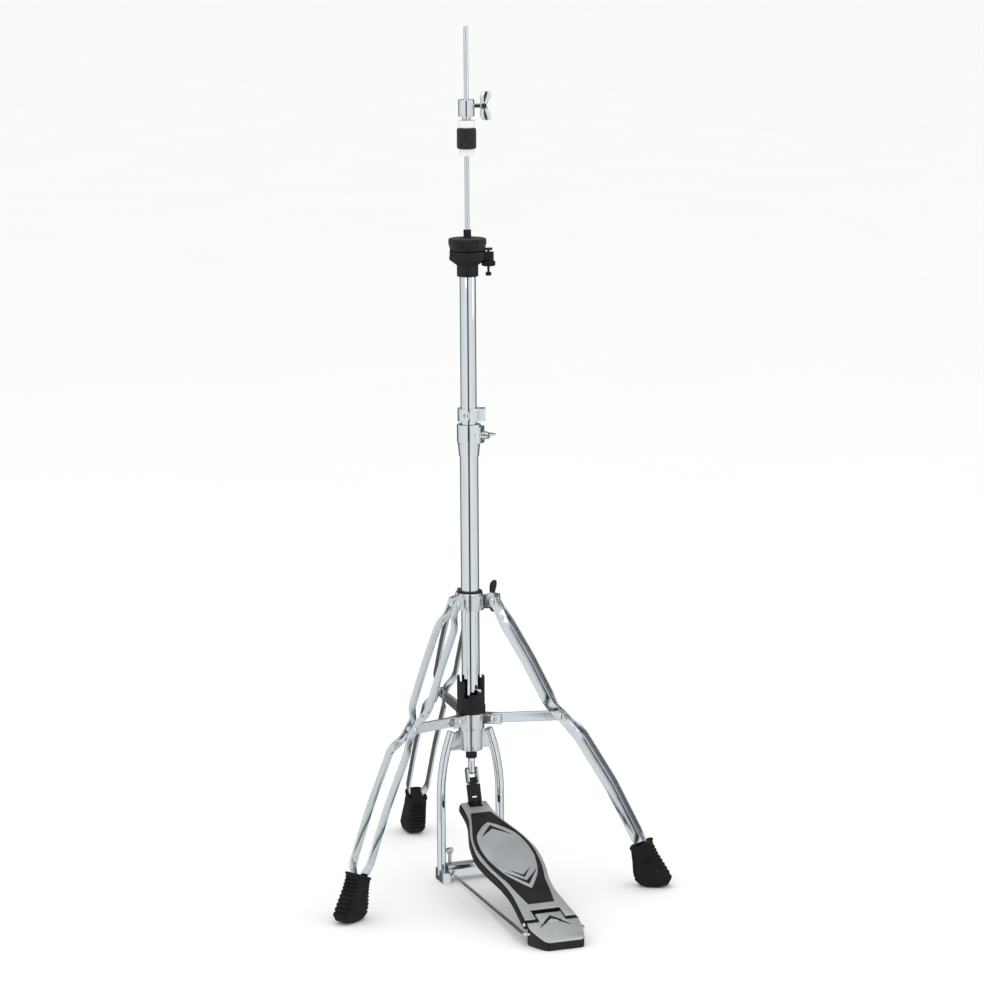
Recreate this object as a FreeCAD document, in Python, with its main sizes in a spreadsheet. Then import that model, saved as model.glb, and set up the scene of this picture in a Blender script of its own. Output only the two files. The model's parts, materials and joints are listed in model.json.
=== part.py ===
"""Hi-hat stand: a folding double-strip tripod, a telescoping tube, a pull rod and a foot pedal.

Frame: +Z up, origin on the floor under the tube's axis, the pedal runs towards -Y.
Every size is in millimetres. The driving sizes are in the table below, which fills the
spreadsheet "Sizes"; "Rules" holds the values that are worked out from them.
"""
import FreeCAD
import Part

import math
import os
import re

import Sketcher

Vector = FreeCAD.Vector
Rotation = FreeCAD.Rotation
Placement = FreeCAD.Placement

X_AXIS = Vector(1, 0, 0)
Y_AXIS = Vector(0, 1, 0)
Z_AXIS = Vector(0, 0, 1)

# ---------------------------------------------------------------- driving sizes

SIZES = {
    # clearances
    "fit_gap": 0.05,            # radial play of a running fit
    "play": 0.4,                # space between pieces that move past each other
    # tubes and rod
    "lower_tube_dia": 25.4,
    "lower_tube_wall": 1.5,
    "lower_tube_bottom": 190,
    "lower_tube_top": 626,
    "tube_clearance": 0.1,
    "upper_tube_wall": 1.2,
    "upper_tube_overlap": 136,
    "rod_dia": 6.35,
    "rod_top": 1188,
    "rod_joint_height": 442,
    "rod_eye_height": 155.5,
    "rod_eye_radius": 4.9,
    "rod_eye_length": 14.5,
    "rod_nut_height": 4.4,
    # receiver and memory lock
    "receiver_overlap": 23.6,
    "receiver_height": 44,
    "receiver_wall": 2.8,
    "receiver_taper_height": 18,
    "memory_gap": 4.6,
    "memory_height": 17.6,
    "memory_wall": 4.3,
    "memory_lobe_reach": 23,
    "memory_bolt_angle": -122,
    "receiver_wing_angle": -45,
    # cymbal seat
    "seat_height": 888.8,
    "seat_disc_dia": 52,
    "seat_disc_height": 13.6,
    "sleeve_dia": 9.5,
    "sleeve_bore": 8.5,
    "sleeve_height": 11.7,
    "cup_dia": 50,
    "cup_collar_wall": 3.5,
    "cup_height": 34.3,
    "tilt_plate_thick": 2.6,
    "tilt_arm_angle": -20,
    "tilt_screw_reach": 28.4,
    "tilt_screw_dia": 3.4,
    "tilt_nut_radius": 9.7,
    # clutch
    "clutch_height": 1014,
    "clutch_nut_dia": 20,
    "clutch_nut_height": 9.5,
    "clutch_felt_dia": 26.4,
    "clutch_felt_height": 14.05,
    "clutch_washer_dia": 23.5,
    "clutch_washer_height": 10,
    "clutch_neck_dia": 11.5,
    "clutch_neck_height": 5.2,
    "clutch_body_dia": 22,
    "clutch_body_height": 22.8,
    "clutch_tube_dia": 10.4,
    # tripod
    "leg_first_angle": -30,
    "leg_hinge_reach": 33.7,
    "leg_hinge_height": 400.2,
    "elbow_reach": 127.5,
    "elbow_height": 240.1,
    "strut_hinge_reach": 32.7,
    "strut_hinge_height": 233.3,
    "foot_reach": 262,
    "strip_width": 13.6,
    "strip_thick": 2.8,
    "strip_inner_gap": 8.8,
    "strip_spread": 27.2,
    "strut_width": 13.5,
    "strut_thick": 6,
    "rivet_dia": 6,
    "leg_collar_wall": 6.1,
    "leg_collar_drop": 13.5,
    "leg_collar_height": 20,
    "collar_ring_height": 6.9,
    "collar_wing_angle": 30,
    "collar_wing_reach": 54,
    "lower_collar_wall": 5.8,
    "lower_collar_drop": 16.3,
    "lower_collar_height": 22.6,
    "lug_width": 13.8,
    "boot_width": 28,
    "boot_height": 62,
    # spring tension sleeve
    "tension_reach": 7.5,
    "tension_wall": 3.2,
    "tension_foot": 12,
    "tension_height": 52,
    "tension_pin_dia": 4,
    "tension_pin_rise": 34,
    "tension_pin_angle": -72,
    "tension_travel": 3.7,
    "tension_cam_slope": 0.61,
    "spring_wire_dia": 1.8,
    "spring_coil_dia": 15,
    # base frame
    "hub_wall": 2.8,
    "hub_floor": 3,
    "yoke_plane": 5,
    "yoke_half_span": 43.7,
    "yoke_bar_dia": 12,
    "yoke_straight_height": 120,
    "yoke_bend_radius": 270,
    "yoke_drop": 4,
    "web_thick": 7,
    "block_width": 12,
    "block_front": -14,
    "block_back": 18,
    "block_height": 16.5,
    "bar_underside": 6.8,
    "bar_front": -6,
    "bar_height": 12,
    "bar_crown": 4.5,
    "spur_dia": 4.6,
    "spur_head_height": 46,
    "spur_tip_height": 2.5,
    "spur_reach": 31.5,
    "rod_hook_y": -10,
    "radius_rod_height": 9,
    "radius_rod_rise": 7,
    "radius_rod_dia": 4.4,
    "bush_dia": 15.6,
    "bush_height": 12,
    # pedal
    "toe_front": -6.3,
    "toe_height": 112.3,
    "hinge_level": 24.75,
    "hinge_run": 310,
    "hinge_depth": 6.5,
    "hinge_pin_dia": 5,
    "knuckle_dia": 12,
    "knuckle_half": 18,
    "board_toe_half": 20.5,
    "board_wide_half": 48.6,
    "board_wide_run": 147,
    "board_waist_half": 33,
    "board_waist_run": 242,
    "board_heel_half": 38,
    "board_skin": 3,
    "board_depth": 10,
    "board_wall": 3,
    "inset_margin": 5,
    "inset_thick": 1.2,
    "heel_tail": 45.25,
    "heel_rear_height": 14,
    "heel_half": 36,
    "heel_plate_thick": 3,
    "toe_pin_run": 5.5,
    "toe_pin_lift": 6,
    "toe_pin_dia": 3,
    "toe_pin_slack": 1.5,       # room for the pin to wander in its hole through a stroke
    "link_pin_dia": 4,
    "link_length": 12.5,
    "link_width": 17,
    "connector_half": 9,
}

# ---------------------------------------------------------------- worked-out values

RULES = {
    "lower_tube_radius": "lower_tube_dia / 2",
    "upper_tube_radius": "upper_tube_dia / 2",
    "upper_tube_dia": "lower_tube_dia - 2 * lower_tube_wall - 2 * tube_clearance",
    "upper_tube_bottom": "lower_tube_top - upper_tube_overlap",
    "rod_radius": "rod_dia / 2",
    "rod_bore": "rod_radius + fit_gap",
    "lower_rod_bottom": "rod_eye_height + link_pin_dia / 2 + 3",
    "tube_slide_bore": "lower_tube_radius + fit_gap",
    "receiver_radius": "lower_tube_radius + receiver_wall",
    "receiver_bottom": "lower_tube_top - receiver_overlap",
    "receiver_top": "receiver_bottom + receiver_height",
    "memory_bottom": "receiver_top + memory_gap",
    "seat_plate_bottom": "seat_height - tilt_plate_thick",
    "cup_top": "seat_plate_bottom - 1.4",
    "cup_collar_bottom": "cup_top - cup_height",
    "cup_collar_dia": "upper_tube_dia + 2 * cup_collar_wall",
    "tilt_pivot_height": "seat_plate_bottom - 5.7",
    "tilt_pivot_reach": "cup_dia / 2 - 4",
    "clutch_felt_bottom": "clutch_height + clutch_nut_height",
    "clutch_washer_bottom": "clutch_felt_bottom + 2 * clutch_felt_height + play",
    "clutch_neck_bottom": "clutch_washer_bottom + clutch_washer_height",
    "clutch_body_bottom": "clutch_neck_bottom + clutch_neck_height",
    "clutch_wing_height": "clutch_body_bottom + clutch_body_height / 2 + 3",
    "clutch_tube_radius": "clutch_tube_dia / 2",
    "clutch_bore": "rod_radius + fit_gap",
    "strip_inner": "strip_inner_gap / 2",
    "rivet_radius": "rivet_dia / 2",
    "rivet_bore": "rivet_radius + fit_gap",
    "lug_slot": "strut_thick + 2 * 0.3",
    "leg_lug_thick": "strip_inner_gap - 2 * 0.3",
    "strut_run": "elbow_reach - strut_hinge_reach",
    "strut_rise": "elbow_height - strut_hinge_height",
    "strut_length": "sqrt(strut_run * strut_run + strut_rise * strut_rise)",
    "leg_collar_dia": "lower_tube_dia + 2 * leg_collar_wall",
    "leg_collar_bottom": "leg_hinge_height - leg_collar_drop",
    "collar_wing_height": "leg_collar_bottom + leg_collar_height / 2",
    "lower_collar_dia": "lower_tube_dia + 2 * lower_collar_wall",
    "lower_collar_bottom": "strut_hinge_height - lower_collar_drop",
    "lower_collar_top": "lower_collar_bottom + lower_collar_height",
    "tension_dia": "lower_tube_dia + 2 * tension_reach",
    "tension_bottom": "lower_collar_top + play",
    "tension_pin_height": "tension_bottom + tension_pin_rise",
    "hub_dia": "lower_tube_dia + 2 * hub_wall",
    "hub_bottom": "lower_tube_bottom - hub_floor",
    "yoke_top": "lower_collar_bottom - yoke_drop",
    "bush_bottom": "hub_bottom - bush_height",
    "pin_radius": "tension_pin_dia / 2",
    "tube_bore": "lower_tube_radius - lower_tube_wall",
    "bar_top": "bar_underside + bar_height",
    "block_inner": "yoke_half_span - block_width / 2 - 1",
    "block_outer": "block_inner + block_width",
    "board_slope": "asin((toe_height - hinge_level)"
                   " / sqrt(hinge_run * hinge_run + hinge_depth * hinge_depth))"
                   " - atan(hinge_depth / hinge_run)",
    "hinge_y": "toe_front - hinge_run * cos(board_slope) + hinge_depth * sin(board_slope)",
    "hinge_z": "toe_height - hinge_run * sin(board_slope) - hinge_depth * cos(board_slope)",
    "heel_rear": "hinge_y - heel_tail",
    "knuckle_radius": "knuckle_dia / 2",
    "toe_pin_y": "toe_front - toe_pin_run * cos(board_slope) - toe_pin_lift * sin(board_slope)",
    "toe_pin_z": "toe_height - toe_pin_run * sin(board_slope) + toe_pin_lift * cos(board_slope)",
    "chain_length": "sqrt(toe_pin_y * toe_pin_y"
                    " + (rod_eye_height - toe_pin_z) * (rod_eye_height - toe_pin_z))",
    "link_half": "link_width / 2",
}

doc = FreeCAD.newDocument("HiHatStand")
sheet = doc.addObject("Spreadsheet::Sheet", "Sizes")
finished = []


def fill_sheet():
    """Write every driving size into its own named cell."""
    for row, (name, size) in enumerate(SIZES.items(), start=1):
        sheet.set(f"A{row}", name)
        sheet.set(f"B{row}", str(size))
        sheet.setAlias(f"B{row}", name)
    doc.recompute()


def bind(formula):
    """Turn a formula of size names into an expression on the spreadsheet's cells."""
    def swap(match):
        word = match.group(0)
        if word in RULES:
            return "(" + bind(RULES[word]) + ")"
        if word in SIZES:
            return "Sizes." + word
        return word
    return re.sub(r"[a-z]\w*", swap, str(formula))


def size(formula):
    """The present value of a formula, as a plain number."""
    found = sheet.evalExpression(bind(formula))
    return float(getattr(found, "Value", found))


# ---------------------------------------------------------------- drawing helpers


def new_body(label):
    """A named PartDesign body."""
    body = doc.addObject("PartDesign::Body", label)
    body.Label = label
    return body


def keep(item, angle=0.0):
    """Note a finished sub-part, turned about the tube's axis."""
    item.Placement = Placement(Vector(), Rotation(Z_AXIS, angle)).multiply(item.Placement)
    finished.append(item)
    return item


def draw_polygon(sketch, corners):
    """A closed outline whose corners are tied to formulas of the sizes."""
    spots = [Vector(size(x), size(y), 0) for x, y in corners]
    first = sketch.GeometryCount
    count = len(spots)
    for index, spot in enumerate(spots):
        sketch.addGeometry(Part.LineSegment(spot, spots[(index + 1) % count]), False)
    for index in range(count):
        following = first + (index + 1) % count
        sketch.addConstraint(Sketcher.Constraint("Coincident", first + index, 2, following, 1))
    for index, (x, y) in enumerate(corners):
        for kind, formula, value in (("DistanceX", x, spots[index].x),
                                     ("DistanceY", y, spots[index].y)):
            number = sketch.addConstraint(
                Sketcher.Constraint(kind, -1, 1, first + index, 1, value))
            sketch.setExpression(f"Constraints[{number}]", bind(formula))


def draw_circle(sketch, x, y, radius):
    """A circle whose centre and radius are tied to formulas of the sizes."""
    centre = Vector(size(x), size(y), 0)
    number = sketch.addGeometry(Part.Circle(centre, Z_AXIS, size(radius)), False)
    for kind, formula, value in (("DistanceX", x, centre.x), ("DistanceY", y, centre.y)):
        tie = sketch.addConstraint(Sketcher.Constraint(kind, -1, 1, number, 3, value))
        sketch.setExpression(f"Constraints[{tie}]", bind(formula))
    tie = sketch.addConstraint(Sketcher.Constraint("Radius", number, size(radius)))
    sketch.setExpression(f"Constraints[{tie}]", bind(radius))


def draw(sketch, loops):
    """Fill a sketch: a loop is a list of corners, or (x, y, radius) for a circle."""
    for loop in loops:
        if isinstance(loop, tuple):
            draw_circle(sketch, *loop)
        else:
            draw_polygon(sketch, loop)


def attach(body, plane, loops, lift="0", turn=0.0):
    """A sketch on one of the body's own planes, lifted off it and turned about Z."""
    sketch = body.newObject("Sketcher::SketchObject", body.Label + "_outline")
    face = next(item for item in body.Origin.OriginFeatures if item.Role == plane + "_Plane")
    sketch.AttachmentSupport = [(face, "")]
    sketch.MapMode = "FlatFace"
    upright = plane != "XY"
    sketch.AttachmentOffset = Placement(Vector(), Rotation(Y_AXIS if upright else Z_AXIS, turn))
    side_share = math.sin(math.radians(turn)) if upright else 0.0
    face_share = math.cos(math.radians(turn)) if upright else 1.0
    sketch.setExpression("AttachmentOffset.Base.x", f"({bind(lift)}) * {side_share:.12f}")
    sketch.setExpression("AttachmentOffset.Base.z", f"({bind(lift)}) * {face_share:.12f}")
    draw(sketch, loops)
    return sketch


def pad(body, plane, loops, start, length, turn=0.0):
    """Add a prism: from start over length, along the axis that the plane lacks."""
    lift = f"-({start}) - ({length})" if plane == "XZ" else start
    feature = body.newObject("PartDesign::Pad", body.Label + "_pad")
    feature.Profile = attach(body, plane, loops, lift, turn)
    feature.setExpression("Length", bind(length))
    return feature


def pocket(body, plane, loops, start, length, turn=0.0):
    """Cut a prism: from start over length, along the axis that the plane lacks."""
    lift = f"-({start})" if plane == "XZ" else f"({start}) + ({length})"
    doc.recompute()
    before = body.Shape.Volume
    feature = body.newObject("PartDesign::Pocket", body.Label + "_pocket")
    feature.Profile = attach(body, plane, loops, lift, turn)
    feature.setExpression("Length", bind(length))
    doc.recompute()
    if body.Shape.Volume > before - 1e-3:
        raise RuntimeError(body.Label + ": a pocket cuts nothing")
    return feature


def spin(body, loops, plane="XZ"):
    """Add a turned shape: the outline holds (radius, height) about Z."""
    feature = body.newObject("PartDesign::Revolution", body.Label + "_turned")
    sketch = attach(body, plane, loops)
    feature.Profile = sketch
    feature.ReferenceAxis = (sketch, ["V_Axis"])
    feature.Angle = 360
    return feature


def polar(body, originals, count=3):
    """Repeat features evenly about Z."""
    doc.recompute()
    pattern = body.newObject("PartDesign::PolarPattern", body.Label + "_pattern")
    pattern.Originals = originals
    upright = next(item for item in body.Origin.OriginFeatures if item.Role == "Z_Axis")
    pattern.Axis = (upright, [""])
    pattern.Angle = 360
    pattern.Occurrences = count
    body.Tip = pattern
    return pattern


def soften(body, radius, wanted):
    """Fillet the edges that the test picks."""
    doc.recompute()
    base = body.Tip
    edges = [f"Edge{number}" for number, edge in enumerate(base.Shape.Edges, start=1)
             if wanted(edge)]
    if not edges:
        raise RuntimeError(body.Label + ": no edge to fillet")
    feature = body.newObject("PartDesign::Fillet", body.Label + "_fillet")
    feature.Base = (base, edges)
    feature.setExpression("Radius", bind(radius))
    return feature


def runs_along(edge, axis):
    """True for a straight edge parallel to the axis."""
    if edge.Curve.TypeId != "Part::GeomLine":
        return False
    return edge.tangentAt(edge.FirstParameter).cross(axis).Length < 1e-6


def rectangle(x_low, x_high, y_low, y_high):
    """The corners of an upright rectangle."""
    return [(x_low, y_low), (x_high, y_low), (x_high, y_high), (x_low, y_high)]


def mirrored(corners):
    """A right-hand outline, given bottom to top, closed by its mirror image."""
    return corners + [(f"-({x})", y) for x, y in reversed(corners)]


def ring(label, outer, inner, bottom, height):
    """A plain ring about Z."""
    body = new_body(label)
    pad(body, "XY", [("0", "0", outer), ("0", "0", inner)], bottom, height)
    return body


def formed(label, shape):
    """A sub-part whose shape is built directly from the present sizes."""
    item = doc.addObject("Part::Feature", label)
    item.Label = label
    item.Shape = shape
    return item


# ---------------------------------------------------------------- tubes and rod


def make_lower_tube():
    """The fixed tube, slotted on both sides for the spring tension pin."""
    body = ring("lower_tube", "lower_tube_radius", "tube_bore",
                "lower_tube_bottom", "lower_tube_top - lower_tube_bottom")
    slot = rectangle("-tension_pin_dia / 2 - play", "tension_pin_dia / 2 + play",
                     "tension_pin_height - 1.4 * tension_travel - pin_radius",
                     "tension_pin_height + 1.4 * tension_travel + pin_radius")
    pocket(body, "XZ", [slot], "-lower_tube_dia", "2 * lower_tube_dia",
           turn=90 + size("tension_pin_angle"))
    keep(body)


def make_upper_tube():
    """The height tube, which slides in the receiver's bush."""
    body = ring("upper_tube", "upper_tube_radius", "upper_tube_radius - upper_tube_wall",
                "upper_tube_bottom", "cup_collar_bottom + 17 - upper_tube_bottom")
    keep(body)


def make_rods():
    """Lower rod, upper rod and the coupling that also seats the spring."""
    lower = new_body("lower_rod")
    pad(lower, "XY", [("0", "0", "rod_radius")], "lower_rod_bottom",
        "rod_joint_height - lower_rod_bottom")
    keep(lower)
    upper = new_body("upper_rod")
    pad(upper, "XY", [("0", "0", "rod_radius")], "rod_joint_height",
        "rod_top - rod_joint_height")
    soften(upper, "rod_radius * 0.6",
           lambda edge: edge.BoundBox.ZMin > size("rod_top") - 0.01)
    keep(upper)
    coupling = ring("rod_coupling", "spring_coil_dia / 2 + 1", "rod_radius",
                    "rod_joint_height - 12", "24")
    keep(coupling)


def make_rod_end():
    """The round-ended eye at the rod's foot, with its hexagon collar."""
    eye = new_body("rod_eye")
    pad(eye, "XY", [("0", "0", "rod_eye_radius")], "rod_eye_height - rod_eye_radius",
        "rod_eye_length + rod_eye_radius")
    soften(eye, "rod_eye_radius - 0.4",
           lambda edge: edge.BoundBox.ZMax < size("rod_eye_height - rod_eye_radius") + 0.01)
    pocket(eye, "YZ", [("0", "rod_eye_height", "link_pin_dia / 2 + fit_gap")],
           "-rod_eye_radius - 1", "2 * rod_eye_radius + 2")
    hexagon = [(f"5.5 * cos({60 * step})", f"5.5 * sin({60 * step})") for step in range(6)]
    pad(eye, "XY", [hexagon], "rod_eye_height + rod_eye_length", "rod_nut_height")
    pocket(eye, "XY", [("0", "0", "rod_radius")], "lower_rod_bottom",
           "rod_eye_length + rod_nut_height")
    keep(eye)


def make_spring():
    """The return spring between the tension pin's seat and the rod coupling."""
    bottom = size("tension_pin_height + pin_radius + 5")
    top = size("rod_joint_height - 12")
    wire = size("spring_wire_dia / 2")
    coil = size("spring_coil_dia / 2")
    length = top - bottom - 2 * wire - 0.4
    helix = Part.makeHelix(length / 12, length, coil)
    helix.translate(Vector(0, 0, bottom + wire + 0.2))
    start = helix.Edges[0]
    where = start.valueAt(start.FirstParameter)
    along = start.tangentAt(start.FirstParameter)
    circle = Part.Wire([Part.makeCircle(wire, where, along)])
    coil_wire = Part.Wire(helix.Edges)
    keep(formed("return_spring", coil_wire.makePipeShell([circle], True, True)))


# ---------------------------------------------------------------- receiver and memory lock


def make_receiver():
    """The cast clamp on the lower tube's top, tapered below, with a bolt boss."""
    body = new_body("receiver")
    waist = "receiver_bottom + receiver_taper_height"
    spin(body, [[("lower_tube_radius", "receiver_bottom"),
                 ("lower_tube_radius + 1.1", "receiver_bottom"),
                 ("receiver_radius", waist),
                 ("receiver_radius + 1", waist + " + 1.5"),
                 ("receiver_radius + 1", "receiver_top"),
                 ("lower_tube_radius", "receiver_top")]])
    turn = size("receiver_wing_angle")
    pad(body, "XY", [rectangle("lower_tube_radius + 1", "receiver_radius + 5", "-8", "8")],
        "receiver_top - 25", "23", turn)
    soften(body, "1.5", lambda edge: runs_along(edge, Z_AXIS)
           and edge.Vertexes[0].Point.x ** 2 + edge.Vertexes[0].Point.y ** 2
           > size("receiver_radius + 4") ** 2)
    pocket(body, "YZ", [("0", "receiver_top - 14", "3 + fit_gap")],
           "lower_tube_radius - 1", "receiver_radius + 8", turn)
    keep(body)
    bush = ring("receiver_bush", "lower_tube_radius", "upper_tube_radius + fit_gap",
                "lower_tube_top", "receiver_top - lower_tube_top")
    keep(bush)


def make_memory_lock():
    """The split ring on the height tube, with its square bolt head in a recess."""
    body = ring("memory_lock", "upper_tube_radius + memory_wall", "upper_tube_radius",
                "memory_bottom", "memory_height")
    pad(body, "XY", [rectangle("upper_tube_radius + 1", "memory_lobe_reach", "-7", "7")],
        "memory_bottom", "memory_height", size("tilt_arm_angle"))
    pocket(body, "XY", [rectangle("upper_tube_radius - 1", "memory_lobe_reach + 1",
                                  "-0.6", "0.6")],
           "memory_bottom", "memory_height", size("tilt_arm_angle"))
    middle = "memory_bottom + memory_height / 2"
    bolt_turn = size("memory_bolt_angle")
    pocket(body, "YZ", [("0", middle, "4.2")], "upper_tube_radius + memory_wall - 1.8", "3",
           bolt_turn)
    pad(body, "YZ", [rectangle("-2.2", "2.2", f"{middle} - 2.2", f"{middle} + 2.2")],
        "upper_tube_radius + memory_wall - 2", "2", bolt_turn)
    keep(body)


def make_wing_bolt(label, turn, height, shank, hub, half_span, flare, upright, thick="5"):
    """A bolt with two flared wings, its axis level and radial."""
    body = new_body(label)
    pad(body, "YZ", [("0", height, "3")], shank, f"({hub}) - ({shank})", turn)
    pad(body, "YZ", [("0", height, "5.5")], hub, "9", turn)
    base = height if upright else "0"
    wings = [(f"({hub}) + 1.5", base),
             (f"({hub}) + 2", f"{base} + 3"),
             (f"({hub}) + {flare}", f"{base} + {half_span}"),
             (f"({hub}) + {flare} + 7", f"{base} + {half_span} - 1"),
             (f"({hub}) + 8.5", f"{base} + 3.5"),
             (f"({hub}) + 8", base),
             (f"({hub}) + 8.5", f"{base} - 3.5"),
             (f"({hub}) + {flare} + 7", f"{base} - {half_span} + 1"),
             (f"({hub}) + {flare}", f"{base} - {half_span}"),
             (f"({hub}) + 2", f"{base} - 3")]
    if upright:
        pad(body, "XZ", [wings], f"-({thick}) / 2", thick, turn)
    else:
        pad(body, "XY", [wings], f"({height}) - ({thick}) / 2", thick, turn)
    reach = size(hub) + flare + 2
    soften(body, "2.2", lambda edge: edge.Length < size(thick) + 0.01
           and edge.Length > size(thick) - 0.01
           and math.hypot(edge.CenterOfMass.x, edge.CenterOfMass.y) > reach - 3
           and edge.CenterOfMass.distanceToPoint(hub_centre(turn, height, hub))
           > half_span - 3)
    keep(body)


def hub_centre(turn, height, hub):
    """The middle of a wing bolt's hub."""
    reach = size(hub) + 4.5
    angle = math.radians(turn)
    return Vector(reach * math.cos(angle), reach * math.sin(angle), size(height))


# ---------------------------------------------------------------- cymbal seat


def make_seat_cup():
    """The moulded cup on the height tube, with the tilt screw's arm and the pivot slot."""
    turn = size("tilt_arm_angle")
    body = new_body("seat_cup")
    spin(body, [[("upper_tube_radius", "cup_collar_bottom"),
                 ("cup_collar_dia / 2", "cup_collar_bottom"),
                 ("cup_collar_dia / 2", "cup_collar_bottom + 15"),
                 ("cup_dia / 2", "cup_top - 11.6"),
                 ("cup_dia / 2", "cup_top"),
                 ("5", "cup_top"),
                 ("5", "cup_collar_bottom + 17"),
                 ("upper_tube_radius", "cup_collar_bottom + 17")]])
    pad(body, "XY", [rectangle("cup_collar_dia / 2 + 2", "tilt_screw_reach + 7.4", "-6", "6")],
        "cup_top - 13", "11.6", turn)
    soften(body, "3", lambda edge: runs_along(edge, Z_AXIS)
           and math.hypot(edge.CenterOfMass.x, edge.CenterOfMass.y)
           > size("tilt_screw_reach + 5"))
    pocket(body, "XY", [rectangle("-cup_dia / 2 - 1", "-tilt_pivot_reach + 3.6",
                                  "-5.4", "5.4")],
           "tilt_pivot_height - 4", "10", turn)
    pocket(body, "XZ", [("-tilt_pivot_reach", "tilt_pivot_height", "1.5 + fit_gap")],
           "-cup_dia / 2", "cup_dia", turn)
    pocket(body, "XY", [("tilt_screw_reach", "0", "tilt_screw_dia / 2 + fit_gap")],
           "cup_top - 15", "16", turn)
    pocket(body, "XY", [("tilt_screw_reach", "0", "tilt_nut_radius + play")],
           "cup_top - 24", "11", turn)
    keep(body)
    bush = ring("top_bush", "upper_tube_radius - upper_tube_wall", "rod_bore",
                "cup_collar_bottom + 3", "14")
    keep(bush)


def make_tilter():
    """The tilt plate with its knuckle and pin, the felt disc and the rod sleeve."""
    turn = size("tilt_arm_angle")
    bore = "sleeve_bore / 2"
    plate = new_body("tilt_plate")
    pad(plate, "XY", [("0", "0", "cup_dia / 2 - 1"), ("0", "0", bore)],
        "seat_plate_bottom", "tilt_plate_thick", turn)
    pad(plate, "XY", [rectangle("cup_dia / 2 - 6", "tilt_screw_reach + 5.6", "-5", "5")],
        "seat_plate_bottom", "tilt_plate_thick", turn)
    pad(plate, "XZ", [rectangle("-tilt_pivot_reach - 3", "-tilt_pivot_reach + 3",
                                "tilt_pivot_height", "seat_plate_bottom + 1"),
                      ], "-5", "10", turn)
    pad(plate, "XZ", [("-tilt_pivot_reach", "tilt_pivot_height", "3")], "-5", "10", turn)
    pad(plate, "XZ", [("-tilt_pivot_reach", "tilt_pivot_height", "1.5")], "-11", "22", turn)
    keep(plate)
    disc = ring("seat_disc", "seat_disc_dia / 2", "sleeve_dia / 2 + 0.9",
                "seat_height", "seat_disc_height")
    soften(disc, "1.5", lambda edge: edge.BoundBox.XLength > size("seat_disc_dia") - 1)
    keep(disc)
    sleeve = ring("seat_sleeve", "sleeve_dia / 2 + 0.9", bore,
                  "seat_height", "seat_disc_height")
    pad(sleeve, "XY", [("0", "0", "sleeve_dia / 2"), ("0", "0", bore)],
        "seat_height + seat_disc_height", "sleeve_height")
    keep(sleeve)


def make_tilt_screw():
    """The tilt adjusting screw and its knurled lock nut."""
    turn = size("tilt_arm_angle")
    screw = new_body("tilt_screw")
    top = "seat_plate_bottom - 0.3"
    bottom = "cup_top - 29.2"
    pad(screw, "XY", [("tilt_screw_reach", "0", "tilt_screw_dia / 2")], bottom,
        f"{top} - ({bottom})", turn)
    pad(screw, "XY", [("tilt_screw_reach", "0", "4")], f"({bottom}) - 4.4", "4.4", turn)
    keep(screw)
    nut = new_body("tilt_nut")
    pad(nut, "XY", [("tilt_screw_reach", "0", "tilt_nut_radius"),
                    ("tilt_screw_reach", "0", "tilt_screw_dia / 2 + fit_gap")],
        "cup_top - 20.6", "7.3", turn)
    soften(nut, "0.8", lambda edge: edge.Length > 40)
    keep(nut)


# ---------------------------------------------------------------- clutch


def make_clutch():
    """The rod clutch: threaded body, white washer, two felts and the lower nut."""
    body = new_body("clutch_body")
    top = "clutch_body_bottom + clutch_body_height"
    spin(body, [[("clutch_bore", "clutch_height + 1"),
                 ("clutch_tube_radius", "clutch_height + 1"),
                 ("clutch_tube_radius", "clutch_neck_bottom"),
                 ("clutch_neck_dia / 2", "clutch_neck_bottom"),
                 ("clutch_neck_dia / 2", "clutch_body_bottom"),
                 ("clutch_body_dia / 2", "clutch_body_bottom"),
                 ("clutch_body_dia / 2", top),
                 ("clutch_bore", top)]])
    soften(body, "1.2", lambda edge: edge.Length > size("3 * clutch_body_dia"))
    pocket(body, "YZ", [("0", "clutch_wing_height", "3 + fit_gap")],
           "clutch_bore + 0.5", "clutch_body_dia / 2", size("tilt_arm_angle"))
    keep(body)
    washer = ring("clutch_washer", "clutch_washer_dia / 2", "clutch_tube_radius + fit_gap",
                  "clutch_washer_bottom", "clutch_washer_height")
    soften(washer, "1.2", lambda edge: edge.Length > size("3 * clutch_washer_dia"))
    keep(washer)
    felts = []
    for number in range(2):
        felt = ring(f"felt_{number}", "clutch_felt_dia / 2", "clutch_tube_radius + fit_gap",
                    f"clutch_felt_bottom + {number} * clutch_felt_height",
                    "clutch_felt_height")
        soften(felt, "2", lambda edge: edge.Length > size("3 * clutch_felt_dia"))
        felts.append(felt)
    keep(group("clutch_felts", felts))
    nut = ring("clutch_nut", "clutch_nut_dia / 2", "clutch_tube_radius + fit_gap",
               "clutch_height", "clutch_nut_height - fit_gap")
    soften(nut, "1.5", lambda edge: edge.BoundBox.ZMax < size("clutch_height") + 0.01
           and edge.Length > size("3 * clutch_nut_dia"))
    keep(nut)


def group(label, items):
    """Several identical loose solids that share one node."""
    compound = doc.addObject("Part::Compound", label)
    compound.Label = label
    compound.Links = items
    return compound


# ---------------------------------------------------------------- tripod


def leg_angles():
    """The three legs' directions in plan, each with its name."""
    first = size("leg_first_angle")
    return {"right": first, "rear": first + 120, "left": first + 240}


def flat_sketch(label, plane, corners):
    """A free outline in an upright plane: XZ, or YZ seen along +X."""
    sketch = doc.addObject("Sketcher::SketchObject", label)
    rotation = Rotation(X_AXIS, 90)
    if plane == "YZ":
        rotation = Rotation(Z_AXIS, 90).multiply(rotation)
    sketch.Placement = Placement(Vector(), rotation)
    draw_polygon(sketch, corners)
    return sketch


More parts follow.
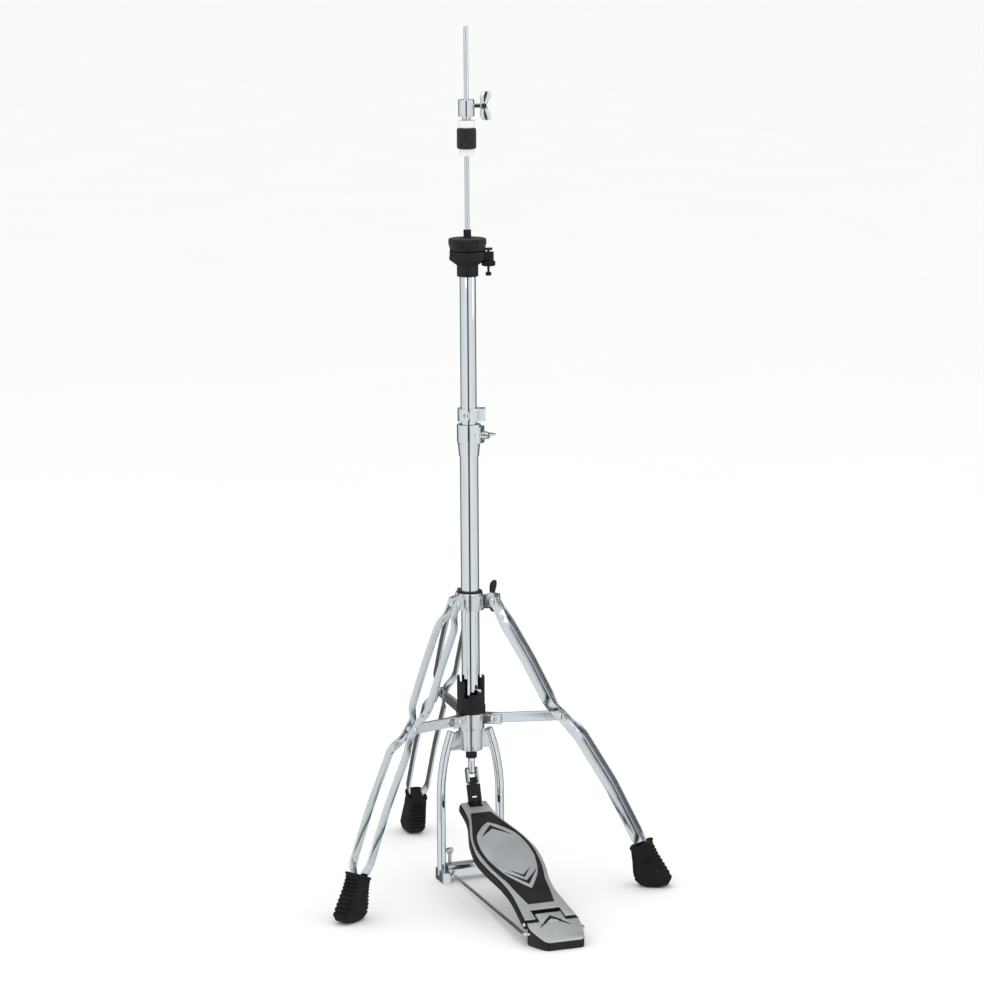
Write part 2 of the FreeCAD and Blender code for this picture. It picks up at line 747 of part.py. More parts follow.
def prism(label, plane, corners, width):
    """An outline made solid, evenly to both sides of its plane."""
    solid = doc.addObject("Part::Extrusion", label)
    solid.Base = flat_sketch(label + "_outline", plane, corners)
    solid.DirMode = "Normal"
    solid.Symmetric = True
    solid.Solid = True
    solid.setExpression("LengthFwd", bind(width))
    return solid


def cross_cylinder(label, reach, height, radius, low, high):
    """A cylinder lying across a leg's plane, from low to high."""
    pin = doc.addObject("Part::Cylinder", label)
    pin.setExpression("Radius", bind(radius))
    pin.setExpression("Height", bind(f"({high}) - ({low})"))
    pin.Placement.Rotation = Rotation(X_AXIS, -90)
    pin.setExpression("Placement.Base.x", bind(reach))
    pin.setExpression("Placement.Base.y", bind(low))
    pin.setExpression("Placement.Base.z", bind(height))
    return pin


def side_band(across):
    """A leg strip seen from the side, following its bends from hinge to boot."""
    path = [("leg_hinge_reach - 4.5", "leg_hinge_height + 8"),
            ("leg_hinge_reach + 17", "leg_hinge_height - 30"),
            ("elbow_reach - 18.5", "elbow_height + 24"),
            ("elbow_reach", "elbow_height"),
            ("elbow_reach + 26", "elbow_height - 25"),
            ("foot_reach - 28", "70"),
            ("foot_reach - 2", "18")]
    spots = [Vector(size(x), size(y), 0) for x, y in path]
    left = []
    right = []
    for index, (x, y) in enumerate(path):
        before = spots[max(index - 1, 0)]
        after = spots[min(index + 1, len(spots) - 1)]
        into = (spots[index] - before) if index else (after - spots[index])
        out = (after - spots[index]) if index < len(spots) - 1 else into
        into = into.normalize()
        out = out.normalize()
        bisector = (into + out).normalize()
        reach = across / 2 / max(into.dot(bisector), 0.5)
        left.append((f"{x} + {bisector.y * reach:.4f}", f"{y} - {bisector.x * reach:.4f}"))
        right.append((f"{x} - {bisector.y * reach:.4f}", f"{y} + {bisector.x * reach:.4f}"))
    return left + right[::-1]


def front_band(side):
    """A leg strip seen end on: close at hinge, elbow and boot, spread between them."""
    heights = [("leg_hinge_height + 20", 0), ("leg_hinge_height - 14", 0),
               ("leg_hinge_height - 30", 1), ("elbow_height + 24", 1),
               ("elbow_height + 11", 0), ("elbow_height - 11", 0),
               ("elbow_height - 25", 1), ("70", 1), ("56", 0), ("5", 0)]
    inner = []
    outer = []
    for height, spread in heights:
        near = "strip_spread / 2" if spread else "strip_inner"
        inner.append((f"{side} * ({near})", height))
        outer.append((f"{side} * ({near} + strip_thick)", height))
    return inner + outer[::-1]


def make_strip(leg, name, side):
    """One flat strip of a leg, drilled for its hinge, with its half of the elbow rivet."""
    label = f"{leg}_leg_{name}"
    blank = doc.addObject("Part::Common", label + "_blank")
    blank.Base = prism(label + "_side", "XZ", side_band(size("strip_width")), "60")
    blank.Tool = prism(label + "_front", "YZ", front_band(side), "700")
    drilled = doc.addObject("Part::Cut", label + "_drilled")
    drilled.Base = blank
    drilled.Tool = cross_cylinder(label + "_bore", "leg_hinge_reach", "leg_hinge_height",
                                  "rivet_bore", "-20", "20")
    low, high = sorted((side * size("strip_inner"),
                        side * size("strip_inner + strip_thick + 1.6")))
    riveted = doc.addObject("Part::Fuse", label)
    riveted.Base = drilled
    riveted.Tool = cross_cylinder(label + "_rivet", "elbow_reach", "elbow_height",
                                  "rivet_radius + 0.9", str(low), str(high))
    riveted.Label = label
    return riveted


def make_boot(leg, angle):
    """The rubber boot on a leg's foot, flat where it stands."""
    body = new_body(f"{leg}_boot")
    outline = [("foot_reach - 16", "0"), ("foot_reach + 17", "0"),
               ("foot_reach + 22", "5"), ("foot_reach + 19", "16"),
               ("foot_reach + 9", "boot_height / 2 + 4"),
               ("foot_reach - 9", "boot_height + 2"),
               ("foot_reach - 36.5", "boot_height - 11"),
               ("foot_reach - 36.5", "boot_height - 20"),
               ("foot_reach - 32.5", "13"), ("foot_reach - 27", "4")]
    pad(body, "XZ", [outline], "-boot_width / 2", "boot_width")
    soften(body, "4", lambda edge: edge.BoundBox.YLength < 0.01
           and edge.BoundBox.ZMax > 12)
    keep(body, angle)


def make_strut(leg, angle):
    """The flat bar from the lower collar to a leg's elbow."""
    label = f"{leg}_strut"
    body = new_body(label)
    pad(body, "XZ", [rectangle("0", "strut_length", "-strut_width / 2", "strut_width / 2")],
        "-strut_thick / 2", "strut_thick")
    for place in ("0", "strut_length"):
        pad(body, "XZ", [(place, "0", "strut_width / 2")], "-strut_thick / 2", "strut_thick")
    pocket(body, "XZ", [("0", "0", "rivet_bore")], "-strut_thick", "2 * strut_thick")
    rise = math.degrees(math.atan2(size("strut_rise"), size("strut_run")))
    body.Placement = Placement(Vector(size("strut_hinge_reach"), 0, size("strut_hinge_height")),
                               Rotation(Y_AXIS, -rise))
    keep(body, angle)


def make_rivets(label, reach, height, half_length):
    """Three dome-headed rivets across the hinges of a collar."""
    rivets = []
    for leg, angle in leg_angles().items():
        body = new_body(f"{label}_{leg}")
        pad(body, "XZ", [(reach, height, "rivet_radius")], f"-({half_length})",
            f"2 * ({half_length})")
        for start in (f"-({half_length}) - 1.6", half_length):
            pad(body, "XZ", [(reach, height, "rivet_radius + 1.4")], start, "1.6")
        soften(body, "1", lambda edge: edge.Length > size("2 * pi * (rivet_radius + 1)")
               and abs(edge.CenterOfMass.y) > size(half_length) + 1)
        body.Placement = Placement(Vector(), Rotation(Z_AXIS, angle))
        rivets.append(body)
    keep(group(label, rivets))


def make_leg_collar():
    """The upper collar, which carries the legs, with its nylon ring and wing boss."""
    bore = "tube_slide_bore"
    body = new_body("leg_collar")
    pad(body, "XY", [("0", "0", "leg_collar_dia / 2"), ("0", "0", bore)],
        "leg_collar_bottom", "leg_collar_height")
    lug = pad(body, "XZ", [[("tube_slide_bore + 1.5", "leg_collar_bottom + 2"),
                            ("leg_hinge_reach + 2", "leg_collar_bottom + 3"),
                            ("leg_hinge_reach + 8", "leg_hinge_height - 3"),
                            ("leg_hinge_reach + 8", "leg_hinge_height + 9"),
                            ("leg_hinge_reach - 4", "leg_hinge_height + 11"),
                            ("tube_slide_bore + 1.5", "leg_collar_bottom + 18")]],
              "-leg_lug_thick / 2", "leg_lug_thick")
    bore_cut = pocket(body, "XZ", [("leg_hinge_reach", "leg_hinge_height", "rivet_radius")],
                      "-leg_lug_thick", "2 * leg_lug_thick")
    polar(body, [lug, bore_cut])
    boss_turn = size("collar_wing_angle - leg_first_angle")
    pad(body, "YZ", [("0", "collar_wing_height", "6")], "tube_slide_bore + 2",
        "collar_wing_reach - 24 - tube_slide_bore", boss_turn)
    pocket(body, "YZ", [("0", "collar_wing_height", "3 + fit_gap")], "tube_slide_bore - 1",
           "collar_wing_reach", boss_turn)
    keep(body, size("leg_first_angle"))
    keep(ring("collar_ring", "leg_collar_dia / 2 - 1.3", bore,
              "leg_collar_bottom + leg_collar_height", "collar_ring_height"))
    make_rivets("leg_rivets", "leg_hinge_reach", "leg_hinge_height",
                "strip_inner + strip_thick + 0.2")


def make_lower_collar():
    """The turning collar that carries the struts in three slotted lugs."""
    body = new_body("lower_collar")
    pad(body, "XY", [("0", "0", "lower_collar_dia / 2"), ("0", "0", "tube_slide_bore")],
        "lower_collar_bottom", "lower_collar_height")
    lug = pad(body, "XZ", [rectangle("tube_slide_bore + 1.5", "strut_hinge_reach + 10.5",
                                     "strut_hinge_height - 8", "lower_collar_top")],
              "-lug_width / 2", "lug_width")
    slot = pocket(body, "XZ", [rectangle("strut_hinge_reach - 8.7", "strut_hinge_reach + 12",
                                         "strut_hinge_height - 17",
                                         "strut_hinge_height + 17")],
                  "-lug_slot / 2", "lug_slot")
    bore = pocket(body, "XZ", [("strut_hinge_reach", "strut_hinge_height", "rivet_radius")],
                  "-lug_width", "2 * lug_width")
    polar(body, [lug, slot, bore])
    keep(body, size("leg_first_angle"))
    make_rivets("strut_rivets", "strut_hinge_reach", "strut_hinge_height", "lug_width / 2")


def make_tripod():
    """Collars, legs, struts and boots."""
    make_leg_collar()
    make_lower_collar()
    for leg, angle in leg_angles().items():
        for name, side in (("near_strip", -1), ("far_strip", 1)):
            keep(make_strip(leg, name, side), angle)
        make_boot(leg, angle)
        make_strut(leg, angle)


def make_tension_sleeve():
    """The cam sleeve that sets the spring's height, and the cross pin that rides on it."""
    body = new_body("tension_sleeve")
    pad(body, "XY", [("0", "0", "tension_dia / 2"), ("0", "0", "tube_slide_bore")],
        "tension_bottom", "tension_foot")
    pad(body, "XY", [("0", "0", "tension_dia / 2"), ("0", "0", "tension_dia / 2 - tension_wall")],
        "tension_bottom + tension_foot", "tension_height - tension_foot")
    turn = size("tension_pin_angle")
    low = "tension_pin_height - pin_radius - 1.2 - 13 * tension_cam_slope"
    high = "tension_pin_height - pin_radius - 1.2 + 10.5 * tension_cam_slope"
    above = "tension_bottom + tension_height + 1"
    window = [("-13", low), ("10.5", high), ("10.5", above), ("-13", above)]
    for half_turn in (0, 180):
        pocket(body, "YZ", [window], "tension_dia / 2 - tension_wall - 3", "tension_wall + 4",
               turn + half_turn)
    keep(body)
    pin = new_body("tension_pin")
    pad(pin, "YZ", [("0", "tension_pin_height", "pin_radius")], "-tension_dia / 2 - 1",
        "tension_dia + 2", turn)
    pad(pin, "XY", [("0", "0", "spring_coil_dia / 2 + 1.2")],
        "tension_pin_height - pin_radius", "2 * pin_radius + 5")
    pocket(pin, "XY", [("0", "0", "rod_radius + play")],
           "tension_pin_height - pin_radius - 1", "2 * pin_radius + 7")
    keep(pin)


# ---------------------------------------------------------------- base frame


def make_hub():
    """The cast hub under the lower tube with its side webs, and the rod's guide bush."""
    body = new_body("hub")
    spin(body, [[("6", "hub_bottom"), ("hub_dia / 2", "hub_bottom"),
                 ("hub_dia / 2", "lower_collar_bottom - play"),
                 ("lower_tube_radius", "lower_collar_bottom - play"),
                 ("lower_tube_radius", "lower_tube_bottom"), ("6", "lower_tube_bottom")]])
    for side in ("-1", "1"):
        web = [(f"{side} * (lower_tube_radius + 0.6)", "hub_bottom"),
               (f"{side} * (yoke_half_span - 9.5)", "hub_bottom"),
               (f"{side} * (yoke_half_span - 17)", "yoke_top - 5"),
               (f"{side} * (lower_tube_radius + 0.6)", "yoke_top + 2")]
        pad(body, "XZ", [web], "yoke_plane - web_thick / 2", "web_thick")
    keep(body)
    bush = new_body("guide_bush")
    pad(bush, "XY", [("0", "0", "bush_dia / 2")], "bush_bottom", "hub_bottom - bush_bottom")
    pad(bush, "XY", [("0", "0", "6")], "hub_bottom", "lower_tube_bottom - hub_bottom + 2")
    pocket(bush, "XY", [("0", "0", "rod_bore")], "bush_bottom - 1", "30")
    soften(bush, "0.8", lambda edge: edge.BoundBox.ZMax < size("bush_bottom") + 0.01
           and edge.Length > size("2.5 * bush_dia"))
    keep(bush)


def rounded_path(points, radii):
    """A wire of straight runs joined by tangent arcs at the inner points."""
    pieces = []
    here = points[0]
    for index in range(1, len(points) - 1):
        corner = points[index]
        into = (corner - here).normalize()
        out = (points[index + 1] - corner).normalize()
        half_turn = into.getAngle(out) / 2
        back = radii[index - 1] * math.tan(half_turn)
        start = corner - into * back
        end = corner + out * back
        middle = corner + (out - into).normalize() * (
            radii[index - 1] / math.cos(half_turn) - radii[index - 1])
        pieces.append(Part.makeLine(here, start))
        pieces.append(Part.Arc(start, middle, end).toShape())
        here = end
    pieces.append(Part.makeLine(here, points[-1]))
    return Part.Wire(pieces)


def round_bar(path, radius):
    """A solid round bar along a wire."""
    first = path.Edges[0]
    start = first.valueAt(first.FirstParameter)
    along = first.tangentAt(first.FirstParameter)
    section = Part.Wire([Part.makeCircle(radius, start, along)])
    return path.makePipeShell([section], True, True)


def make_yoke():
    """The two round bars that rise from the foot blocks and curve in to the hub."""
    bars = []
    radius = size("yoke_bend_radius")
    straight = size("yoke_straight_height")
    turn = math.asin((size("yoke_top") - straight) / radius)
    for side in (-1, 1):
        def spot(angle):
            across = size("yoke_half_span") - radius * (1 - math.cos(angle))
            return Vector(side * across, size("yoke_plane"), straight + radius * math.sin(angle))
        foot = Vector(side * size("yoke_half_span"), size("yoke_plane"),
                      size("block_height") / 2)
        path = Part.Wire([Part.makeLine(foot, spot(0)),
                          Part.Arc(spot(0), spot(turn / 2), spot(turn)).toShape()])
        bars.append(round_bar(path, size("yoke_bar_dia / 2")))
    keep(formed("yoke", Part.Compound(bars)))


def make_base_bar():
    """The crossbar, its two foot blocks and the spurs through the bar's ends."""
    bar = new_body("crossbar")
    pad(bar, "YZ", [rectangle("bar_front", "block_back - 1", "bar_underside",
                              "bar_top + bar_crown")], "-block_inner", "2 * block_inner")
    soften(bar, "bar_crown + 3", lambda edge: runs_along(edge, X_AXIS)
           and edge.CenterOfMass.z > size("bar_top"))
    for side in ("-1", "1"):
        pocket(bar, "XY", [(f"{side} * spur_reach", "yoke_plane", "spur_dia / 2 + fit_gap")],
               "0", "60")
    keep(bar)
    blocks = []
    rods = []
    for side, name in (("-1", "left"), ("1", "right")):
        foot = new_body(f"foot_block_{name}")
        pad(foot, "XY", [rectangle(*sorted_pair(side, "block_inner", "block_outer"),
                                   "block_front", "block_back")], "0", "block_height")
        soften(foot, "1.5", lambda edge: edge.CenterOfMass.z > size("block_height") - 0.01
               or runs_along(edge, Z_AXIS))
        blocks.append(foot)
        rods.append(radius_rod(int(side)))
        make_spur(name, side)
    keep(group("foot_blocks", blocks))
    keep(formed("radius_rods", Part.Compound(rods)))


def sorted_pair(side, near, far):
    """The low and the high X of a piece on the left or the right."""
    return (near, far) if side == "1" else (f"-{far}", f"-{near}")


def make_spur(name, side):
    """A pointed spur bolt with a flat T head."""
    body = new_body(f"spur_{name}")
    centre = (f"{side} * spur_reach", "yoke_plane")
    pad(body, "XY", [(*centre, "spur_dia / 2")], "spur_tip_height + 3",
        "spur_head_height - spur_tip_height - 9")
    pad(body, "XY", [(*centre, "spur_dia / 2 - 1")], "spur_tip_height", "3")
    pad(body, "XY", [(*centre, "spur_dia / 2 + 1.2")], "spur_head_height - 9", "3")
    x_low = f"{side} * spur_reach - 5.2"
    x_high = f"{side} * spur_reach + 5.2"
    pad(body, "XZ", [rectangle(x_low, x_high, "spur_head_height - 6", "spur_head_height")],
        "yoke_plane - 1.6", "3.2")
    soften(body, "2", lambda edge: runs_along(edge, Y_AXIS)
           and edge.CenterOfMass.z > size("spur_head_height") - 0.01)
    keep(body)


def radius_rod(side):
    """The bent rod that ties a foot block to the heel."""
    height = size("radius_rod_height")
    rise = size("radius_rod_rise")
    heel_y = size("hinge_y") - 14
    path = [Vector(side * size("yoke_half_span"), size("rod_hook_y"), height),
            Vector(side * size("block_inner - 7.5"), size("rod_hook_y"), height),
            Vector(side * size("board_heel_half + 3.8"), heel_y, height + rise),
            Vector(side * size("heel_half - 4"), heel_y, height + rise)]
    return round_bar(rounded_path(path, [3.5, 5]), size("radius_rod_dia / 2"))


# ---------------------------------------------------------------- pedal


def board_place():
    """The footboard's own frame: origin at the toe's top edge, +Y towards the toe."""
    return Placement(Vector(0, size("toe_front"), size("toe_height")),
                     Rotation(X_AXIS, size("board_slope")))


def board_half(run):
    """Half the footboard's width at a distance from the toe."""
    toe, wide = size("board_toe_half"), size("board_wide_half")
    waist, heel = size("board_waist_half"), size("board_heel_half")
    wide_run, waist_run = size("board_wide_run"), size("board_waist_run")
    if run <= wide_run:
        start, end, low, high = 0, wide_run, toe, wide
    elif run <= waist_run:
        start, end, low, high = wide_run, waist_run, wide, waist
    else:
        start, end, low, high = waist_run, size("hinge_run"), waist, heel
    share = (run - start) / (end - start)
    return low + (high - low) * (0.5 - 0.5 * math.cos(math.pi * share))


def board_slab(start, end, margin, low, high):
    """A slab with the footboard's curved outline, between two runs and two levels."""
    count = 24
    runs = [start + (end - start) * step / count for step in range(count + 1)]
    sides = []
    for sign in (1, -1):
        curve = Part.BSplineCurve()
        curve.interpolate([Vector(sign * (board_half(run) - margin), -run, low)
                           for run in runs])
        sides.append(curve.toShape())
    closing = [Part.makeLine(sides[0].Vertexes[index].Point, sides[1].Vertexes[index].Point)
               for index in (0, -1)]
    outline = Part.Wire(Part.__sortEdges__(sides + closing))
    return Part.Face(outline).extrude(Vector(0, 0, high - low))


def block(x_low, x_high, y_low, y_high, z_low, z_high):
    """A plain block between two corners."""
    return Part.makeBox(x_high - x_low, y_high - y_low, z_high - z_low,
                        Vector(x_low, y_low, z_low))


def cross_pin(radius, half, y, z, start=None):
    """A cylinder along X about (y, z)."""
    low = -half if start is None else start
    return Part.makeCylinder(radius, half - low, Vector(low, y, z), X_AXIS)


def place_on_board(label, shape):
    """A pedal piece, modelled in the footboard's frame."""
    item = formed(label, shape)
    item.Placement = board_place()
    return keep(item)


def make_footboard():
    """The silver top plate, the black chassis with its hinge ears, and the grip plates."""
    run = size("hinge_run")
    skin = size("board_skin")
    depth = size("board_depth")
    wall = size("board_wall")
    notch = size("knuckle_half") + 0.6
    pin_y = -run
    pin_z = -size("hinge_depth")
    ear = size("knuckle_radius")
    heel_gap = block(-notch, notch, -run - 30, -run + 26, -40, 10)
    top = board_slab(0, run, 0, -skin, 0).cut(heel_gap)
    place_on_board("footboard_top", top)
    chassis = board_slab(0, run, 0, -skin - depth, -skin)
    hollow = board_slab(wall, run - 34, wall, -skin - depth - 1, -skin - 3)
    ears = cross_pin(ear, size("board_heel_half - 0.6"), pin_y, pin_z)
    skirt_gap = block(-60, 60, -run - 30, -run + 9, -40, pin_z - ear)
    chassis = chassis.cut(hollow).fuse(ears).cut(heel_gap).cut(skirt_gap)
    above = block(-60, 60, -run - 30, -run + 20, -skin, 20)
    bore = cross_pin(size("hinge_pin_dia / 2 + fit_gap"), 60, pin_y, pin_z)
    place_on_board("footboard_chassis", chassis.cut(above).cut(bore).removeSplitter())
    thick = size("inset_thick")
    inset = board_slab(31, run - 38, size("inset_margin"), 0, thick)
    place_on_board("grip_inset", inset)


def make_toe_bracket():
    """The bracket on the toe with the pin that the chain pulls on."""
    run = -size("toe_pin_run")
    lift = size("toe_pin_lift")
    plate = block(-9.5, 9.5, -14, -0.5, 0, 1)
    lug = block(-3.9, 3.9, run - 3.6, run + 3.6, 0, lift)
    knob = cross_pin(3.6, 3.9, run, lift)
    pin = cross_pin(size("toe_pin_dia / 2"), 9, run, lift)
    place_on_board("toe_bracket", plate.fuse([lug, knob, pin]).removeSplitter())


def chain_place():
    """The chain's own frame: origin at the rod eye's pin, -Z towards the toe pin."""
    lean = math.degrees(math.atan2(size("toe_pin_y"), size("rod_eye_height - toe_pin_z")))
    return Placement(Vector(0, 0, size("rod_eye_height")), Rotation(X_AXIS, lean))


def make_chain():
    """The short chain link and the connector that reaches down to the toe pin."""
    length = size("link_length")
    half = size("link_half")
    radius = size("link_pin_dia / 2")
    plates = []
    for side in (-1, 1):
        low, high = sorted((side * (half - 3), side * half))
        plate = block(low, high, -5.2, 5.2, -length, 0)
        for level in (0, -length):
            plate = plate.fuse(cross_pin(5.2, high, 0, level, low))
        plates.append(plate)
    pins = [cross_pin(radius, half, 0, level) for level in (0, -length)]
    link = plates[0].fuse(plates[1:] + pins).removeSplitter()
    item = formed("chain_link", link)
    item.Placement = chain_place()
    keep(item)
    reach = size("chain_length")
    wide = size("connector_half")
    tongue = block(-4.6, 4.6, -3.5, 3.5, -length - 8, -length)
    tongue = tongue.fuse(cross_pin(3.5, 4.6, 0, -length))
    body = block(-wide, wide, -3.8, 3.8, -reach, -length - 6.2)
    foot = cross_pin(4.2, wide, 0, -reach)
    gap = block(-4.5, 4.5, -10, 10, -reach - 10, -reach + 5.5)
    toe_bore = cross_pin(size("toe_pin_dia / 2 + toe_pin_slack"), 20, 0, -reach)
    link_bore = cross_pin(radius, 20, 0, -length)
    solid = body.fuse([foot, tongue]).cut(gap).cut(toe_bore).cut(link_bore).removeSplitter()
    item = formed("connector", solid)
    item.Placement = chain_place()
    keep(item)


def heel_spot(run, level):
    """A point on the footboard's plane, as formulas in the row's own Y and Z."""
    return (f"toe_front - ({run}) * cos(board_slope) - ({level}) * sin(board_slope)",
            f"toe_height - ({run}) * sin(board_slope) + ({level}) * cos(board_slope)")


def make_heel():
    """The heel base with its knuckle, the heel plate and the hinge pin."""
    base = new_body("heel_base")
    front = "hinge_y - knuckle_radius - 1.5"
    skin = "heel_plate_thick"
    pad(base, "YZ", [[("heel_rear", "0"), (front, "0"), (front, "hinge_z + 1"),
                      ("heel_rear", "heel_rear_height - heel_plate_thick")]],
        "-heel_half", "2 * heel_half")
    pad(base, "YZ", [[(f"{front} - 4", "0"), ("hinge_y + 12", "0"),
                      heel_spot("hinge_run - 13", f"-{skin}"),
                      heel_spot("hinge_run + 7", f"-{skin}"),
                      (f"{front} - 4", "hinge_z - 3")]],
        "-knuckle_half", "2 * knuckle_half")
    pocket(base, "YZ", [("hinge_y", "hinge_z", "hinge_pin_dia / 2")], "-60", "120")
    soften(base, "7", lambda edge: runs_along(edge, Z_AXIS)
           and edge.CenterOfMass.y < size("heel_rear") + 0.01)
    keep(base)
    plate = new_body("heel_plate")
    pad(plate, "YZ", [[("heel_rear", "heel_rear_height - heel_plate_thick"),
                       (front, "hinge_z + 1"), (front, "hinge_z + 1 + heel_plate_thick"),
                       ("heel_rear", "heel_rear_height")]],
        "-heel_half", "2 * heel_half")
    pad(plate, "YZ", [[(f"{front} - 1", "hinge_z + 1"), heel_spot("hinge_run + 7", f"-{skin}"),
                       heel_spot("hinge_run - 13", f"-{skin}"),
                       heel_spot("hinge_run - 13", "0"), heel_spot("hinge_run + 7", "0"),
                       (f"{front} - 1", "hinge_z + 1 + heel_plate_thick")]],
        "-knuckle_half", "2 * knuckle_half")
    soften(plate, "7", lambda edge: edge.CenterOfMass.y < size("heel_rear") + 0.01
           and edge.Length < size("heel_plate_thick") * 2)
    keep(plate)
    pin = new_body("hinge_pin")
    pad(pin, "YZ", [("hinge_y", "hinge_z", "hinge_pin_dia / 2")], "-board_heel_half - 2",
        "2 * board_heel_half + 4")
    keep(pin)


# ---------------------------------------------------------------- build and write


def make_everything():
    """Build every sub-part, from the base frame up."""
    make_lower_tube()
    make_hub()
    make_yoke()
    make_base_bar()
    make_heel()
    make_footboard()
    make_toe_bracket()
    make_chain()
    make_rod_end()
    make_rods()
    make_spring()
    make_tension_sleeve()
    make_tripod()
    make_receiver()
    make_upper_tube()
    make_memory_lock()
    make_seat_cup()
    make_tilter()
    make_tilt_screw()
    make_clutch()
    wing_half = 21
    make_wing_bolt("clutch_wing", size("tilt_arm_angle"), "clutch_wing_height",
                   "clutch_bore + 1.5", "20", wing_half, 4, True)
    make_wing_bolt("collar_wing", size("collar_wing_angle"), "collar_wing_height",
                   "tube_slide_bore + 3", "collar_wing_reach - 10", 24, 4, True)
    make_wing_bolt("receiver_wing", size("receiver_wing_angle"), "receiver_top - 14",
                   "lower_tube_radius + 0.6", "receiver_radius + 6", 16, 5, False)


def write_parts():
    """Check every object and write one STEP file for each sub-part."""
    doc.recompute()
    for item in doc.Objects:
        if "Invalid" in item.State or "Error" in item.State:
            raise RuntimeError(f"{item.Label} failed: {item.State}")
    os.makedirs("parts", exist_ok=True)
    for item in finished:
        shape = item.Shape
        if shape.isNull() or not shape.isValid() or not shape.Solids:
            raise RuntimeError(item.Label + ": its shape is not a valid solid")
        shape.exportStep(f"parts/{item.Label}.step")
        print(f"{item.Label:22s} solids {len(shape.Solids)}  volume {shape.Volume:10.1f} mm3")


fill_sheet()
make_everything()
write_parts()
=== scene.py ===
# %% [markdown]
# # A hi-hat stand, dressed for the camera
# The CAD model already holds every piece at its real size and place. This script loads it as
# a fixed frame, gives every piece a finish, and builds the pieces whose look needs more than
# CAD gives: rubber boots, bent leg strips, wing bolts, the footboard's plates and the felts.

import json
import math

import bmesh
import bpy
from mathutils import Matrix, Vector

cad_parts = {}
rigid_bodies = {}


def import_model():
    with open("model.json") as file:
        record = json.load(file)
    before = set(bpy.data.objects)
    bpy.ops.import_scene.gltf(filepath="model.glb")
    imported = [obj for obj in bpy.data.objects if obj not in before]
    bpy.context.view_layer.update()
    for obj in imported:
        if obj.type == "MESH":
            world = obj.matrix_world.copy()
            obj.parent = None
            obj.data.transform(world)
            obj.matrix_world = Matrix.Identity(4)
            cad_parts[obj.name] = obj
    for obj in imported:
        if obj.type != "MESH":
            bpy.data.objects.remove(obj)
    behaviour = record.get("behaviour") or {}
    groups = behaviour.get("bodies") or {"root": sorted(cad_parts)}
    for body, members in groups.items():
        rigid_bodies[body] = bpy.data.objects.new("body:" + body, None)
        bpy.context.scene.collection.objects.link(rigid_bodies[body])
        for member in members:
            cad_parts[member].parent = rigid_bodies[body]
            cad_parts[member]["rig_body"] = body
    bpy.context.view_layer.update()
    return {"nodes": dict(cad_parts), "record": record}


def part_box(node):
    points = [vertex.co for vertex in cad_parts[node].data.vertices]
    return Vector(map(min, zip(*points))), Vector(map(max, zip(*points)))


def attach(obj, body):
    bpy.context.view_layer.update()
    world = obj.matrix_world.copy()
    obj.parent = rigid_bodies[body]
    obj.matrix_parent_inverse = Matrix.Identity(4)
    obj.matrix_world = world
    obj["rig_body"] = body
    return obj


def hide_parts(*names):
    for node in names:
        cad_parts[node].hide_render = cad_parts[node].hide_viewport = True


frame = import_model()

MM = 0.001
SMOOTH_ANGLE = math.radians(32)

# %% [markdown]
# ## Finishes
# Each finish is one Principled shader with procedural detail read from Object coordinates,
# so that the pattern stays on the piece. One helper makes the empty material and others add
# noise, which drives small changes of colour, roughness and height. Numbers that are the
# same all over stay on the shader's own sockets.

# %% Material helpers
NOISE_LOW, NOISE_HIGH = 0.3, 0.7


def add_node(tree, kind, inputs=None, **settings):
    """A node with its settings; an input is a fixed value or another node's output."""
    node = tree.nodes.new(kind)
    for name, value in settings.items():
        setattr(node, name, value)
    for socket, value in (inputs or {}).items():
        if isinstance(value, bpy.types.NodeSocket):
            tree.links.new(value, node.inputs[socket])
        else:
            node.inputs[socket].default_value = value
    return node


def new_finish(name, metallic=0.0, specular=0.5):
    """An empty material with its shader and Object coordinates."""
    material = bpy.data.materials.new(name)
    material.use_nodes = True
    tree = material.node_tree
    shader = tree.nodes["Principled BSDF"]
    shader.inputs["Metallic"].default_value = metallic
    shader.inputs["Specular IOR Level"].default_value = specular
    return material, tree, shader, add_node(tree, "ShaderNodeTexCoord").outputs["Object"]


def stretched(tree, source, scale):
    """Object coordinates scaled differently along each axis."""
    return add_node(tree, "ShaderNodeMapping",
                    {"Scale": scale, "Vector": source}).outputs["Vector"]


def noise(tree, source, scale, detail=4.0, rough=0.55):
    """A noise value between 0 and 1."""
    return add_node(tree, "ShaderNodeTexNoise", {
        "Scale": scale, "Detail": detail, "Roughness": rough, "Vector": source}).outputs["Fac"]


def spread(tree, value, low, high):
    """Map a noise value's middle range to low..high."""
    return add_node(tree, "ShaderNodeMapRange", {
        "From Min": NOISE_LOW, "From Max": NOISE_HIGH, "To Min": low, "To Max": high,
        "Value": value}).outputs["Result"]


def times(tree, value, factor):
    """A value times a fixed factor."""
    return add_node(tree, "ShaderNodeMath", {0: value, 1: factor},
                    operation="MULTIPLY").outputs[0]


def weighed(tree, value, weight, rest):
    """A value times its weight, plus another value."""
    return add_node(tree, "ShaderNodeMath", {0: value, 1: weight, 2: rest},
                    operation="MULTIPLY_ADD").outputs[0]


def tint(tree, value, dark, light):
    """Blend two colours by a value."""
    blend = add_node(tree, "ShaderNodeValToRGB", {"Fac": value})
    stops = ((NOISE_LOW, dark), (NOISE_HIGH, light))
    for element, (position, colour) in zip(blend.color_ramp.elements, stops):
        element.position = position
        element.color = (*colour, 1)
    return blend.outputs["Color"]


def relief(tree, value, shader, distance):
    """Turn a value into a fine bump on the shader."""
    bump = add_node(tree, "ShaderNodeBump", {"Distance": distance, "Height": value})
    tree.links.new(bump.outputs["Normal"], shader.inputs["Normal"])


